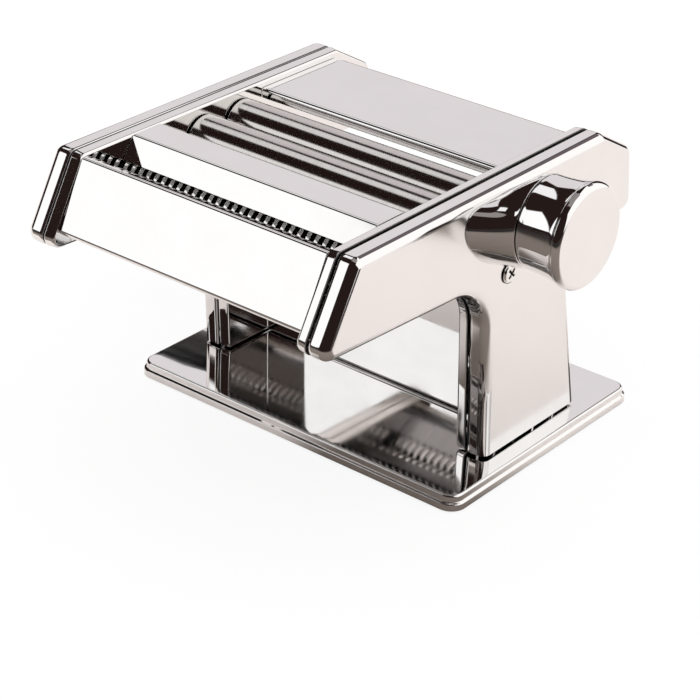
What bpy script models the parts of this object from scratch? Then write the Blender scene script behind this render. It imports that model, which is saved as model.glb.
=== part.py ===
"""Hand cranked pasta maker: two smooth rolls, a pair of ribbon cutters, two cased side frames and a base.

The machine's X axis runs along the rolls, +X towards the thickness knob, -Y is the front with the
cutters, and +Z is up. The origin is the middle of the machine's footprint, on the table.
"""
import math

import bmesh
import bpy
from mathutils import Vector

mm = 0.001

# Fits between pieces
touch_gap = 0.3 * mm
shaft_gap = 0.3 * mm
screw_gap = 0.4 * mm
cover_hole_gap = 0.6 * mm

# Base pan and feet
foot_stand = 0.8 * mm
base_height = 8.0 * mm
base_overhang = 11.6 * mm
base_front = -25.2 * mm
base_rear = 129.5 * mm
base_corner = 8.5 * mm
base_sheet = 1.2 * mm
base_rim_steps = ((3.0 * mm, 0.0), (2.1 * mm, 0.25 * mm), (1.5 * mm, 1.0 * mm), (1.4 * mm, 3.4 * mm),
                  (0.4 * mm, 4.2 * mm), (0.0, 4.8 * mm))
foot_radius = 8.0 * mm
foot_inset = 16.5 * mm

# Side casings, seen along X: front, top, rear, leg and arch
inner_half_width = 77.0 * mm
frame_depth = 6.5 * mm
cover_depth = 11.8 * mm
frame_wall = 1.4 * mm
cover_wall = 1.2 * mm
frame_edge = 1.4 * mm
cover_edge = 4.0 * mm
head_top = 156.8 * mm
head_front_top = -88.9 * mm
head_front_low = -114.0 * mm
head_front_low_z = 112.7 * mm
arm_slope = -0.045
head_rear_top = 102.0 * mm
head_shoulder = 129.6 * mm
head_shoulder_z = 141.2 * mm
head_rear = 133.4 * mm
head_rear_low_z = 106.5 * mm
head_front_top_radius = 5.5 * mm
head_rear_top_radius = 8.0 * mm
head_rear_radius = 7.0 * mm
head_front_low_radius = 6.0 * mm
leg_front = 14.2 * mm
leg_front_lean = 4.0 * mm
leg_rear = 94.2 * mm
leg_rear_top = 75.0 * mm
leg_corner = 2.0 * mm
arch_radius = 27.0 * mm
rear_arch_radius = 20.0 * mm
cover_lift = 0.6 * mm
leg_below = 14.0 * mm

# Smooth rolls
roll_radius = 13.0 * mm
roll_end_gap = 1.0 * mm
roll_journal = 6.0 * mm
roll_chamfer = 0.5 * mm
roll_z = 138.5 * mm
thickest = 2.6 * mm
thinnest = 0.3 * mm

# Thickness knob
knob_y = 23.7 * mm
knob_z = 142.9 * mm
knob_steps = 7
knob_turn = math.radians(180)
boss_height = 19.2 * mm
boss_reach = 35.2 * mm
boss_drop = 27.2 * mm
boss_flat = 10.2 * mm
boss_power = 1.65
boss_bore = 5.4 * mm
dial_back_radius = 23.6 * mm
dial_front_radius = 25.9 * mm
dial_length = 21.4 * mm
dial_wall = 2.6 * mm
dial_web = 3.5 * mm
cap_radius = 26.4 * mm
cap_thickness = 4.5 * mm
cap_edge = 3.6 * mm
cap_spigot = 2.6 * mm
spindle_radius = 5.0 * mm
spindle_square = 7.0 * mm
cam_radius = 6.5 * mm
cam_side_gap = 0.45 * mm
cam_length = 3.2 * mm
index_radius = 15.0 * mm
index_pin_radius = 1.5 * mm
index_pin_length = 8.0 * mm
retainer_radius = 8.0 * mm
retainer_depth = 3.6 * mm
retainer_screw_radius = 1.5 * mm
retainer_screw_length = 9.0 * mm
spring_wire = 0.6 * mm
spring_coil = 6.7 * mm
spring_turns = 5

# Sliding bearings of the rear roll
slide_thickness = 2.8 * mm
slide_half_width = 11.5 * mm
slide_low = 10.0 * mm
slide_high = 14.7 * mm
yoke_web = 1.0 * mm
rail_thickness = 3.0 * mm
rail_overlap = 2.5 * mm
rail_bite = 0.4 * mm
roll_slot_gap = 0.6 * mm

# Cutters
cutter_radius = 9.2 * mm
cutter_core = 7.0 * mm
cutter_journal = 4.0 * mm
cutter_spacing = 17.0 * mm
cutter_front_y = -72.5 * mm
cutter_z = 136.6 * mm
cutter_pitch = 5.1 * mm
cutter_side_gap = 0.3 * mm
comb_angle = math.radians(20)
comb_sheet = 1.0 * mm
comb_core_gap = 0.4 * mm
comb_tine = 2.0 * mm
comb_tip = 3.0 * mm
comb_root = 6.2 * mm
comb_length = 22.0 * mm

# Gears on the crank side
roll_gear_teeth = 12
roll_gear_tip = 15.1 * mm
cutter_gear_teeth = 10
cutter_gear_tip = 10.1 * mm
gear_root_gap = 0.35 * mm
gear_root_share = 0.30
roll_tip_share = 0.08
cutter_tip_share = 0.07
gear_width = 7.5 * mm
roll_hub = 8.0 * mm
cutter_hub = 6.5 * mm
hub_proud = 0.8 * mm
hub_bore_depth = 2.0 * mm
socket_square = 7.0 * mm
socket_depth = 9.0 * mm

# Bushes
bush_wall = 2.2 * mm
bush_lip = 2.0 * mm
bush_lip_thickness = 1.5 * mm

# Bent sheets between the side frames
sheet = 1.0 * mm
sharp_bend = 1.2 * mm
soft_bend = 1.6 * mm
hood_top = (-87.9 * mm, 154.8 * mm)
hood_low = (-105.4 * mm, 120.6 * mm)
hood_top_lip = (3.8 * mm, -1.4 * mm)
hood_low_lip = (7.4 * mm, -0.8 * mm)
apron_low = (-61.2 * mm, 144.9 * mm)
strip_front = -53.2 * mm
strip_rear = -34.0 * mm
strip_z = 155.8 * mm
strip_lip = 10.0 * mm
guard_front = 41.5 * mm
guard_inset = 4.6 * mm
guard_lip = 5.0 * mm
guard_flange = 9.0 * mm
back_panel_y = 46.5 * mm
back_panel_top = 100.0 * mm
back_panel_flange = 11.0 * mm
scraper_reach = 0.9 * mm
scraper_angle = math.radians(60)
scraper_drop = 9.0 * mm
scraper_flange = 8.0 * mm

# Tie rods, nuts and screws
tie_middle = (26.0 * mm, 108.9 * mm)
tie_front = (-31.5 * mm, 138.0 * mm)
tie_rear = (112.0 * mm, 125.0 * mm)
tie_middle_radius = 5.0 * mm
tie_radius = 4.0 * mm
stud_radius = 2.5 * mm
stud_length = 7.0 * mm
nut_across_flats = 9.0 * mm
nut_thickness = 4.0 * mm
cover_screw_radius = 2.0 * mm
cover_screw_head = 4.4 * mm
cover_screw_length = 30.0 * mm
screw_head_thickness = 2.2 * mm
base_screw_inset = 5.0 * mm
base_screw_places = (30.0 * mm, 75.0 * mm)
base_screw_radius = 2.0 * mm
base_screw_head = 3.6 * mm
base_screw_rise = 6.0 * mm

# Crank
crank_rod = 4.0 * mm
crank_reach = 110.0 * mm
crank_offset = 23.0 * mm
crank_bend = 12.0 * mm
crank_end_bend = 10.0 * mm
crank_rest = math.radians(-52)
crank_square = 6.4 * mm
grip_length = 70.0 * mm
grip_radius = 12.5 * mm
grip_start = 12.0 * mm
grip_nut_radius = 6.5 * mm

# Values that follow from the ones above
base_top = base_height
seam_x = inner_half_width + frame_depth
frame_rim_x = seam_x - touch_gap / 2
cover_rim_x = seam_x + touch_gap / 2
cover_x = seam_x + cover_depth
base_half_width = cover_x + base_overhang
base_screw_x = inner_half_width + base_screw_inset
roll_half_length = inner_half_width - roll_end_gap
frame_face_x = inner_half_width + frame_wall
sheet_end_x = inner_half_width - touch_gap
knob_throw = (thickest - thinnest) / 2
rear_roll_y = knob_y + knob_throw
front_roll_y = rear_roll_y - 2 * roll_radius - thickest
slide_x = frame_face_x + touch_gap
cutter_rear_y = cutter_front_y + cutter_spacing
disc_width = cutter_pitch / 2 - cutter_side_gap
cutter_discs = int((2 * roll_half_length - disc_width) / cutter_pitch)
narrow_spacing = 2 * roll_radius + thinnest
gear_x = slide_x + slide_thickness + 2 * touch_gap
bearing_end_x = slide_x + slide_thickness + touch_gap
driven_shaft_end_x = bearing_end_x + hub_bore_depth
boss_x = cover_x + touch_gap
dial_x = boss_x + boss_height + touch_gap
dial_front_x = dial_x + dial_length
cap_x = dial_front_x + touch_gap
knob_end_x = cap_x + cap_thickness
tie_half_length = inner_half_width - touch_gap

for old in list(bpy.data.objects):
    bpy.data.objects.remove(old, do_unlink=True)
scene = bpy.context.scene
parts = bpy.data.collections.new("pasta_maker")
cutters = bpy.data.collections.new("cutters")
scene.collection.children.link(parts)
scene.collection.children.link(cutters)

ALONG_X = (math.radians(90), 0, math.radians(90))


# Outlines

def rounded(corners, closed=True, step=math.radians(24)):
    """Points of an outline from corners (a, b, radius), each radius drawn as an arc."""
    points = []
    for index, (a, b, radius) in enumerate(corners):
        here = Vector((a, b))
        end_point = not closed and index in (0, len(corners) - 1)
        if end_point or radius <= 0:
            points.append(here)
            continue
        back = (Vector(corners[index - 1][:2]) - here).normalized()
        ahead = (Vector(corners[(index + 1) % len(corners)][:2]) - here).normalized()
        inner_angle = back.angle(ahead)
        centre = here + (back + ahead).normalized() * (radius / math.sin(inner_angle / 2))
        start = here + back * (radius / math.tan(inner_angle / 2)) - centre
        sweep = math.pi - inner_angle
        if back.x * ahead.y - back.y * ahead.x > 0:
            sweep = -sweep
        steps = max(1, round(abs(sweep) / step))
        for k in range(steps + 1):
            angle = sweep * k / steps
            turned_arm = Vector((start.x * math.cos(angle) - start.y * math.sin(angle),
                                 start.x * math.sin(angle) + start.y * math.cos(angle)))
            points.append(centre + turned_arm)
    return points


def side_outline(bottom):
    """The casing's outline in (y, z): a head that reaches forward, and one leg."""
    arm_drop = arm_slope * (leg_front - leg_front_lean - head_front_low)
    leg_low = base_top - bottom
    corners = [
        (head_front_top, head_top, head_front_top_radius),
        (head_rear_top, head_top, head_rear_top_radius),
        (head_shoulder, head_shoulder_z, head_rear_radius),
        (head_rear, head_rear_low_z, head_rear_radius),
        (leg_rear_top, head_rear_low_z, rear_arch_radius),
        (leg_rear + leg_low * (leg_rear - leg_rear_top) / (head_rear_low_z - base_top), bottom, leg_corner),
        (leg_front + leg_low * leg_front_lean / (head_front_low_z - base_top), bottom, leg_corner),
        (leg_front - leg_front_lean, head_front_low_z + arm_drop, arch_radius),
        (head_front_low, head_front_low_z, head_front_low_radius),
    ]
    return rounded(corners)


def circle(radius, steps, a=0.0, b=0.0, start=0.0):
    """Points of a circle about (a, b)."""
    turns = [start + 2 * math.pi * k / steps for k in range(steps)]
    return [Vector((a + radius * math.cos(t), b + radius * math.sin(t))) for t in turns]


def slot_outline(radius, low, high):
    """A round-ended slot along a, from centre low to centre high."""
    right = [Vector((high + radius * math.cos(t), radius * math.sin(t)))
             for t in [math.radians(-90 + 30 * k) for k in range(7)]]
    left = [Vector((low - radius * math.cos(t), -radius * math.sin(t)))
            for t in [math.radians(-90 + 30 * k) for k in range(7)]]
    return right + left


def gear_outline(teeth, root, tip, root_share, tip_share):
    """Straight-flanked teeth; the shares are half widths as parts of a tooth's pitch."""
    pitch = 2 * math.pi / teeth
    points = []
    for tooth in range(teeth):
        for radius, share in ((root, -root_share), (tip, -tip_share), (tip, tip_share), (root, root_share)):
            angle = pitch * (tooth + share)
            points.append(Vector((radius * math.cos(angle), radius * math.sin(angle))))
    return points


def turned_outline(points, angle):
    """An outline turned about its own centre."""
    return [Vector((a * math.cos(angle) - b * math.sin(angle), a * math.sin(angle) + b * math.cos(angle)))
            for a, b in points]


# Making and placing objects

def finish_material(name, red, green, blue, roughness, metallic):
    """A Principled material with one colour."""
    material = bpy.data.materials.new(name)
    material.use_nodes = True
    shader = material.node_tree.nodes["Principled BSDF"]
    shader.inputs["Base Color"].default_value = (red, green, blue, 1)
    shader.inputs["Roughness"].default_value = roughness
    shader.inputs["Metallic"].default_value = metallic
    return material


def add_object(name, mesh, place=(0, 0, 0), rotation=(0, 0, 0), parent=None, group=None):
    """Links a mesh as an object under its parent, the machine if none is named."""
    thing = bpy.data.objects.new(name, mesh)
    (group or parts).objects.link(thing)
    thing.parent = parent or machine
    thing.location = place
    thing.rotation_euler = rotation
    return thing


def mesh_from(work, name):
    """A mesh from bmesh work, with its faces turned outwards."""
    bmesh.ops.recalc_face_normals(work, faces=work.faces)
    mesh = bpy.data.meshes.new(name)
    work.to_mesh(mesh)
    work.free()
    return mesh


def flat_mesh(name, outlines, low, high):
    """A flat piece between two heights of its local Z; outlines inside the first are holes."""
    curve = bpy.data.curves.new(name, "CURVE")
    curve.dimensions = "2D"
    curve.fill_mode = "BOTH"
    curve.extrude = (high - low) / 2
    for outline in outlines:
        spline = curve.splines.new("POLY")
        spline.points.add(len(outline) - 1)
        spline.use_cyclic_u = True
        for target, point in zip(spline.points, outline):
            target.co = (point[0], point[1], 0, 1)
    shape = bpy.data.objects.new(name, curve)
    scene.collection.objects.link(shape)
    bpy.context.view_layer.update()
    raw = bpy.data.meshes.new_from_object(shape.evaluated_get(bpy.context.evaluated_depsgraph_get()))
    bpy.data.objects.remove(shape)
    bpy.data.curves.remove(curve)
    work = bmesh.new()
    work.from_mesh(raw)
    bpy.data.meshes.remove(raw)
    bmesh.ops.remove_doubles(work, verts=work.verts, dist=0.001 * mm)
    bmesh.ops.translate(work, verts=work.verts, vec=(0, 0, (low + high) / 2))
    return mesh_from(work, name)


def turned_mesh(name, profile, steps, ring=False):
    """A turned piece about its local Z, from profile points (radius, height), top to bottom outside."""
    mesh = bpy.data.meshes.new(name)
    edges = [(k, k + 1) for k in range(len(profile) - 1)]
    if ring:
        edges.append((len(profile) - 1, 0))
    mesh.from_pydata([(radius, 0, height) for radius, height in profile], edges, [])
    shape = bpy.data.objects.new(name, mesh)
    scene.collection.objects.link(shape)
    screw = shape.modifiers.new("Turn", "SCREW")
    screw.steps = steps
    screw.render_steps = steps
    screw.use_merge_vertices = True
    screw.merge_threshold = 0.001 * mm
    bpy.context.view_layer.update()
    solid = bpy.data.meshes.new_from_object(shape.evaluated_get(bpy.context.evaluated_depsgraph_get()))
    bpy.data.objects.remove(shape)
    bpy.data.meshes.remove(mesh)
    solid.name = name
    solid.shade_smooth()
    solid.set_sharp_from_angle(angle=math.radians(35))
    return solid


def turned(name, profile, material, y, z, steps=24, ring=False, parent=None, x=0.0):
    """A turned piece whose axis runs along X at (y, z)."""
    thing = add_object(name, turned_mesh(name, profile, steps, ring), (x, y, z), ALONG_X, parent)
    thing.data.materials.append(material)
    return thing


def flat(name, outlines, low, high, material, y=0.0, z=0.0, parent=None):
    """A flat piece square to X, between two values of x, drawn in (y, z) about its place."""
    thing = add_object(name, flat_mesh(name, outlines, low, high), (0, y, z), ALONG_X, parent)
    thing.data.materials.append(material)
    return thing


def tray(name, outline, face, rim, wall, edge, segments, material):
    """A pressed casing half: a flat face at x = face, walls to x = rim, rounded where they meet."""
    work = bmesh.new()
    cap = work.faces.new([work.verts.new((a, b, face)) for a, b in outline])
    walls = bmesh.ops.extrude_edge_only(work, edges=list(cap.edges))
    moved = [item for item in walls["geom"] if isinstance(item, bmesh.types.BMVert)]
    bmesh.ops.translate(work, verts=moved, vec=(0, 0, rim - face))
    bmesh.ops.recalc_face_normals(work, faces=work.faces)
    if cap.normal.z * (face - rim) < 0:
        bmesh.ops.reverse_faces(work, faces=work.faces)
    bmesh.ops.bevel(work, geom=list(cap.edges), offset=edge, offset_type="OFFSET", segments=segments,
                    profile=0.5, affect="EDGES", clamp_overlap=False)
    mesh = bpy.data.meshes.new(name)
    work.to_mesh(mesh)
    work.free()
    mesh.shade_smooth()
    mesh.set_sharp_from_angle(angle=math.radians(35))
    thing = add_object(name, mesh, (0, 0, 0), ALONG_X)
    mesh.materials.append(material)
    thicken(thing, wall, -1)
    return thing


def thicken(thing, wall, side):
    """Gives an open surface its wall: side -1 puts it all within the surface."""
    shell = thing.modifiers.new("Wall", "SOLIDIFY")
    shell.thickness = wall
    shell.offset = side
    shell.use_even_offset = True


def bent_sheet(name, corners, material, half_width=None, parent=None):
    """A sheet bent along X, from the corners (y, z, radius) of its middle plane."""
    half = half_width or sheet_end_x
    path = rounded(corners, closed=False, step=math.radians(30))
    work = bmesh.new()
    near = [work.verts.new((half, y, z)) for y, z in path]
    far = [work.verts.new((-half, y, z)) for y, z in path]
    for k in range(len(path) - 1):
        work.faces.new((near[k], near[k + 1], far[k + 1], far[k]))
    thing = add_object(name, mesh_from(work, name), parent=parent)
    thing.data.materials.append(material)
    thicken(thing, sheet, 0)
    return thing


def cutter(name, mesh, place, rotation):
    """A cutting shape, kept as a wire outside the part."""
    tool = add_object(name, mesh, place, rotation, group=cutters)
    tool.hide_render = True
    tool.display_type = "WIRE"
    return tool


def combine(thing, tool, operation):
    """Cuts or joins a shape with an exact Boolean."""
    step = thing.modifiers.new(tool.name, "BOOLEAN")
    step.operation = operation
    step.object = tool
    step.solver = "EXACT"


def drill(thing, radius, y, z, low, high, steps=16):
    """A round hole along X through the piece."""
    outline = circle(radius, steps)
    tool = cutter(thing.name + "_hole", flat_mesh("hole", [outline], low, high), (0, y, z), ALONG_X)
    combine(thing, tool, "DIFFERENCE")


def square_hole(thing, side, y, z, low, high):
    """A square hole along X into the piece."""
    half = side / 2
    outline = [(-half, -half), (half, -half), (half, half), (-half, half)]
    tool = cutter(thing.name + "_square", flat_mesh("square", [outline], low, high), (0, y, z), ALONG_X)
    combine(thing, tool, "DIFFERENCE")


def box_mesh(name, low, high):
    """A block from its lowest to its highest corner."""
    work = bmesh.new()
    bmesh.ops.create_cube(work, size=1)
    size = Vector(high) - Vector(low)
    bmesh.ops.scale(work, verts=work.verts, vec=size)
    bmesh.ops.translate(work, verts=work.verts, vec=(Vector(high) + Vector(low)) / 2)
    return mesh_from(work, name)


# The machine's own place: the middle of its footprint stands on the origin.
casing = side_outline(base_top)
crank_end_x = cover_x + hub_proud + crank_offset + grip_start + grip_length + touch_gap + grip_nut_radius
machine = bpy.data.objects.new("machine", None)
parts.objects.link(machine)
machine.location = ((crank_end_x - knob_end_x) / 2,
                    -(min(y for y, z in casing) + max(y for y, z in casing)) / 2, foot_stand)

chrome = finish_material("chromed_steel", 0.78, 0.76, 0.75, 0.08, 1.0)
steel = finish_material("nickel_plated_steel", 0.66, 0.64, 0.64, 0.22, 1.0)
gear_steel = finish_material("gear_steel", 0.34, 0.33, 0.32, 0.4, 1.0)
bearing_plastic = finish_material("bearing_acetal", 0.82, 0.82, 0.78, 0.45, 0.0)
foot_rubber = finish_material("foot_rubber", 0.02, 0.02, 0.02, 0.8, 0.0)
grip_plastic = finish_material("grip_plastic", 0.015, 0.015, 0.016, 0.35, 0.0)


# Base pan, feet and the screws that hold the legs

def base_ring(inset):
    """The base's outline, drawn in by an inset."""
    x = base_half_width - inset
    corner = base_corner - inset
    return rounded([(x, base_front + inset, corner), (x, base_rear - inset, corner),
                    (-x, base_rear - inset, corner), (-x, base_front + inset, corner)])


def build_base():
    """The pan: its rim is pressed down in a step, from the flat top to the open underside."""
    work = bmesh.new()
    rings = []
    for inset, drop in (*base_rim_steps, (0.0, base_height)):
        rings.append([work.verts.new((x, y, base_top - drop)) for x, y in base_ring(inset)])
    top = work.faces.new(rings[0])
    for upper, lower in zip(rings, rings[1:]):
        for k in range(len(upper)):
            after = (k + 1) % len(upper)
            work.faces.new((upper[k], lower[k], lower[after], upper[after]))
    bmesh.ops.recalc_face_normals(work, faces=work.faces)
    if top.normal.z < 0:
        bmesh.ops.reverse_faces(work, faces=work.faces)
    mesh = bpy.data.meshes.new("base_plate")
    work.to_mesh(mesh)
    work.free()
    mesh.shade_smooth()
    mesh.set_sharp_from_angle(angle=math.radians(35))
    base = add_object("base_plate", mesh)
    mesh.materials.append(chrome)
    thicken(base, base_sheet, -1)
    for side in (-1, 1):
        for y in base_screw_places:
            hole = flat_mesh("hole", [circle(base_screw_radius + screw_gap, 12)], 0, base_top + 2 * mm)
            combine(base, cutter("base_hole", hole, (side * base_screw_x, y, 0), (0, 0, 0)), "DIFFERENCE")


def build_feet_and_base_screws():
    foot_top = base_top - base_sheet - touch_gap
    foot = turned_mesh("foot", [(0, foot_top), (foot_radius, foot_top), (foot_radius, 1.0 * mm - foot_stand),
                                (foot_radius - 1.0 * mm, -foot_stand), (0, -foot_stand)], 16)
    foot.materials.append(foot_rubber)
    head_z = base_top - base_sheet - touch_gap
    screw = turned_mesh("base_screw", [
        (0, base_top + base_screw_rise), (base_screw_radius, base_top + base_screw_rise - 1.0 * mm),
        (base_screw_radius, head_z), (base_screw_head, head_z),
        (base_screw_head - 1.0 * mm, head_z - screw_head_thickness), (0, head_z - screw_head_thickness)], 12)
    screw.materials.append(steel)
    for side, side_name in ((-1, "crank_side"), (1, "knob_side")):
        for y, end in ((base_front + foot_inset, "front"), (base_rear - foot_inset, "rear")):
            add_object(f"foot_{end}_{side_name}", foot, (side * (base_half_width - foot_inset), y, 0))
        for y, end in zip(base_screw_places, ("front", "rear")):
            add_object(f"base_screw_{end}_{side_name}", screw, (side * base_screw_x, y, 0))


# Side frames and their outer covers

def build_side(side, side_name):
    """One side: the inner frame that holds the bearings, and the polished cover over it."""
    leg_foot = base_top + touch_gap
    frame = tray(f"side_frame_{side_name}", side_outline(leg_foot), side * inner_half_width,
                 side * frame_rim_x, frame_wall, frame_edge, 2, chrome)
    cover = tray(f"side_cover_{side_name}", side_outline(base_top - leg_below), side * cover_x,
                 side * cover_rim_x, cover_wall, cover_edge, 3, chrome)
    open_foot = box_mesh("open_foot", (-cover_x - 5 * mm, leg_front - 9 * mm, base_top - leg_below - 5 * mm),
                         (cover_x + 5 * mm, leg_rear + 9 * mm, leg_foot + cover_lift))
    combine(cover, cutter("open_foot", open_foot, (0, 0, 0), (0, 0, 0)), "DIFFERENCE")
    low, high = sorted((side * (inner_half_width - 2 * mm), side * (frame_face_x + 2 * mm)))
    rail_low, rail_high = sorted((side * (frame_face_x - rail_bite), side * (slide_x + slide_thickness)))
    under_slide = roll_z - slide_low - touch_gap
    over_slide = roll_z + slide_high + touch_gap
    for name, bottom, top in (("rail_low", under_slide - rail_thickness, under_slide),
                              ("rail_high", over_slide, head_top - frame_wall / 2)):
        block = box_mesh(name, (rail_low, knob_y - slide_half_width - rail_overlap, bottom),
                         (rail_high, knob_y + slide_half_width + rail_overlap, top))
        combine(frame, cutter(name, block, (0, 0, 0), (0, 0, 0)), "UNION")
    drill(frame, roll_journal + shaft_gap + bush_wall + touch_gap, front_roll_y, roll_z, low, high, 20)
    slot = flat_mesh("slot", [slot_outline(roll_journal + roll_slot_gap, -2 * knob_throw, 0)], low, high)
    combine(frame, cutter("roll_slot", slot, (0, rear_roll_y, roll_z), ALONG_X), "DIFFERENCE")
    for y in (cutter_front_y, cutter_rear_y):
        drill(frame, cutter_journal + shaft_gap + bush_wall + touch_gap, y, cutter_z, low, high, 16)
    for y, z in (tie_front, tie_rear):
        drill(frame, stud_radius + screw_gap, y, z, low, high, 12)
    drill(frame, cover_screw_radius + screw_gap, *tie_middle, low, high, 12)
    for y in base_screw_places:
        hole = flat_mesh("hole", [circle(base_screw_radius + screw_gap, 12)], leg_foot - 2 * mm,
                         leg_foot + 4 * mm)
        combine(frame, cutter("leg_hole", hole, (side * base_screw_x, y, 0), (0, 0, 0)), "DIFFERENCE")
    low, high = sorted((side * (cover_x - cover_wall - 2 * mm), side * (cover_x + 2 * mm)))
    drill(cover, cover_screw_radius + screw_gap, *tie_middle, low, high, 12)
    if side > 0:
        drill(cover, spindle_radius + cover_hole_gap, knob_y, knob_z, low, high, 16)
    else:
        drill(cover, roll_hub + cover_hole_gap, front_roll_y, roll_z, low, high, 20)
        drill(cover, cutter_hub + cover_hole_gap, cutter_front_y, cutter_z, low, high, 20)


# Ties between the frames, with their nuts, and the screws that hold the covers

def build_ties():
    for name, (y, z) in (("tie_rod_front", tie_front), ("tie_rod_rear", tie_rear)):
        stud = tie_half_length + stud_length
        half = [(0, stud), (stud_radius, stud), (stud_radius, tie_half_length), (tie_radius, tie_half_length)]
        turned(name, half + [(r, -x) for r, x in reversed(half)], steel, y, z, 14)
        flats = circle(nut_across_flats / 2 / math.cos(math.radians(30)), 6)
        hole = list(reversed(circle(stud_radius + screw_gap, 12)))
        for side, side_name in ((-1, "crank_side"), (1, "knob_side")):
            start = frame_face_x + touch_gap
            low, high = sorted((side * start, side * (start + nut_thickness)))
            flat(f"{name.replace('rod', 'nut')}_{side_name}", [flats, hole], low, high, steel, y, z)
    hole_depth = cover_screw_length - (cover_x - tie_half_length) + 2 * mm
    half = [(0, tie_half_length - hole_depth), (cover_screw_radius + screw_gap, tie_half_length - hole_depth),
            (cover_screw_radius + screw_gap, tie_half_length), (tie_middle_radius, tie_half_length)]
    turned("tie_rod_middle", half + [(r, -x) for r, x in reversed(half)], steel, *tie_middle, 16)
    for side, side_name in ((-1, "crank_side"), (1, "knob_side")):
        seat = cover_x + touch_gap
        head_end = seat + screw_head_thickness
        profile = [(0, head_end), (cover_screw_head - 1.2 * mm, head_end),
                   (cover_screw_head, seat + 0.6 * mm), (cover_screw_head, seat), (cover_screw_radius, seat),
                   (cover_screw_radius, seat - cover_screw_length), (0, seat - cover_screw_length)]
        if side < 0:
            profile = [(r, -x) for r, x in reversed(profile)]
        turned(f"cover_screw_{side_name}", profile, chrome, *tie_middle, 14)


# Bent sheet pieces between the frames

def build_sheets():
    bent_sheet("front_hood", [(hood_top[0] + hood_top_lip[0], hood_top[1] + hood_top_lip[1], 0),
                              (*hood_top, sharp_bend), (*hood_low, soft_bend),
                              (hood_low[0] + hood_low_lip[0], hood_low[1] + hood_low_lip[1], 0)], chrome)
    bent_sheet("top_strip", [(*apron_low, 0), (strip_front, strip_z, sharp_bend),
                             (strip_rear, strip_z, soft_bend), (strip_rear, strip_z - strip_lip, 0)], chrome)
    guard_z = head_top - guard_inset
    bent_sheet("rear_guard", [
        (guard_front, guard_z - guard_lip, 0), (guard_front, guard_z, soft_bend),
        (head_rear_top - 0.4 * guard_inset, guard_z, 10 * mm),
        (head_shoulder - guard_inset, head_shoulder_z - 0.7 * guard_inset, 6 * mm),
        (head_rear - guard_inset, head_rear_low_z + guard_inset, soft_bend),
        (head_rear - guard_inset - guard_flange, head_rear_low_z + guard_inset, 0)], chrome)
    flange_z = base_top + touch_gap + sheet / 2
    flange_y = back_panel_y + back_panel_flange
    bent_sheet("back_panel", [(flange_y, flange_z, 0), (back_panel_y, flange_z, soft_bend),
                              (back_panel_y, back_panel_top, soft_bend), (flange_y, back_panel_top, 0)], chrome)


def build_scraper(name, roll_y, lean, parent):
    """A spring-steel blade whose edge lies just under its roll, beside the gap between the rolls."""
    reach = roll_radius + scraper_reach
    tip_y = roll_y + lean * reach * math.cos(scraper_angle)
    tip_z = roll_z - reach * math.sin(scraper_angle)
    foot_y = tip_y - lean * scraper_drop
    blade = bent_sheet(name, [(tip_y, tip_z, 0), (foot_y, tip_z - scraper_drop, soft_bend),
                              (foot_y - lean * scraper_flange, tip_z - scraper_drop, 0)], steel)
    if parent:
        blade.parent = parent
        blade.location = (0, -parent.location.y, -parent.location.z)


# Smooth rolls with their gears and bearings

def build_bush(name, side, journal, y, z):
    """A flanged bush: its sleeve fills the frame's hole, its lip lies on the frame's outer face."""
    bore = journal + shaft_gap
    sleeve = bore + bush_wall
    lip = sleeve + bush_lip
    start = inner_half_width
    lip_x = frame_face_x + touch_gap
    end = lip_x + bush_lip_thickness
    profile = [(bore, end), (lip, end), (lip, lip_x), (sleeve, lip_x), (sleeve, start), (bore, start)]
    if side < 0:
        profile = [(r, -x) for r, x in reversed(profile)]
    turned(name, profile, bearing_plastic, y, z, 16, ring=True)


def gear_with_hub(name, outline, bore, hub, y, z, parent):
    """A gear pressed on a shaft's end, with a hub that reaches out through the cover for the crank."""
    gear_end = gear_x + gear_width
    hub_end = cover_x + hub_proud
    gear = flat(name, [outline], -gear_end, -gear_x, gear_steel, y, z, parent)
    boss = cutter(name + "_hub", turned_mesh("hub", [(0, -gear_x - 1.0 * mm), (hub, -gear_x - 1.0 * mm),
                                                     (hub, 1.0 * mm - hub_end), (hub - 1.0 * mm, -hub_end),
                                                     (0, -hub_end)], 20), (0, y, z), ALONG_X)
    combine(gear, boss, "UNION")
    drill(gear, bore, y, z, -driven_shaft_end_x - screw_gap, -gear_x + 1.0 * mm)
    square_hole(gear, socket_square, y, z, -hub_end - 1.0 * mm, -hub_end + socket_depth)
    for tool in (boss, *[step.object for step in gear.modifiers if step.object is not boss]):
        tool.parent = machine
    if parent:
        gear.location = (0, 0, 0)


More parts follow.
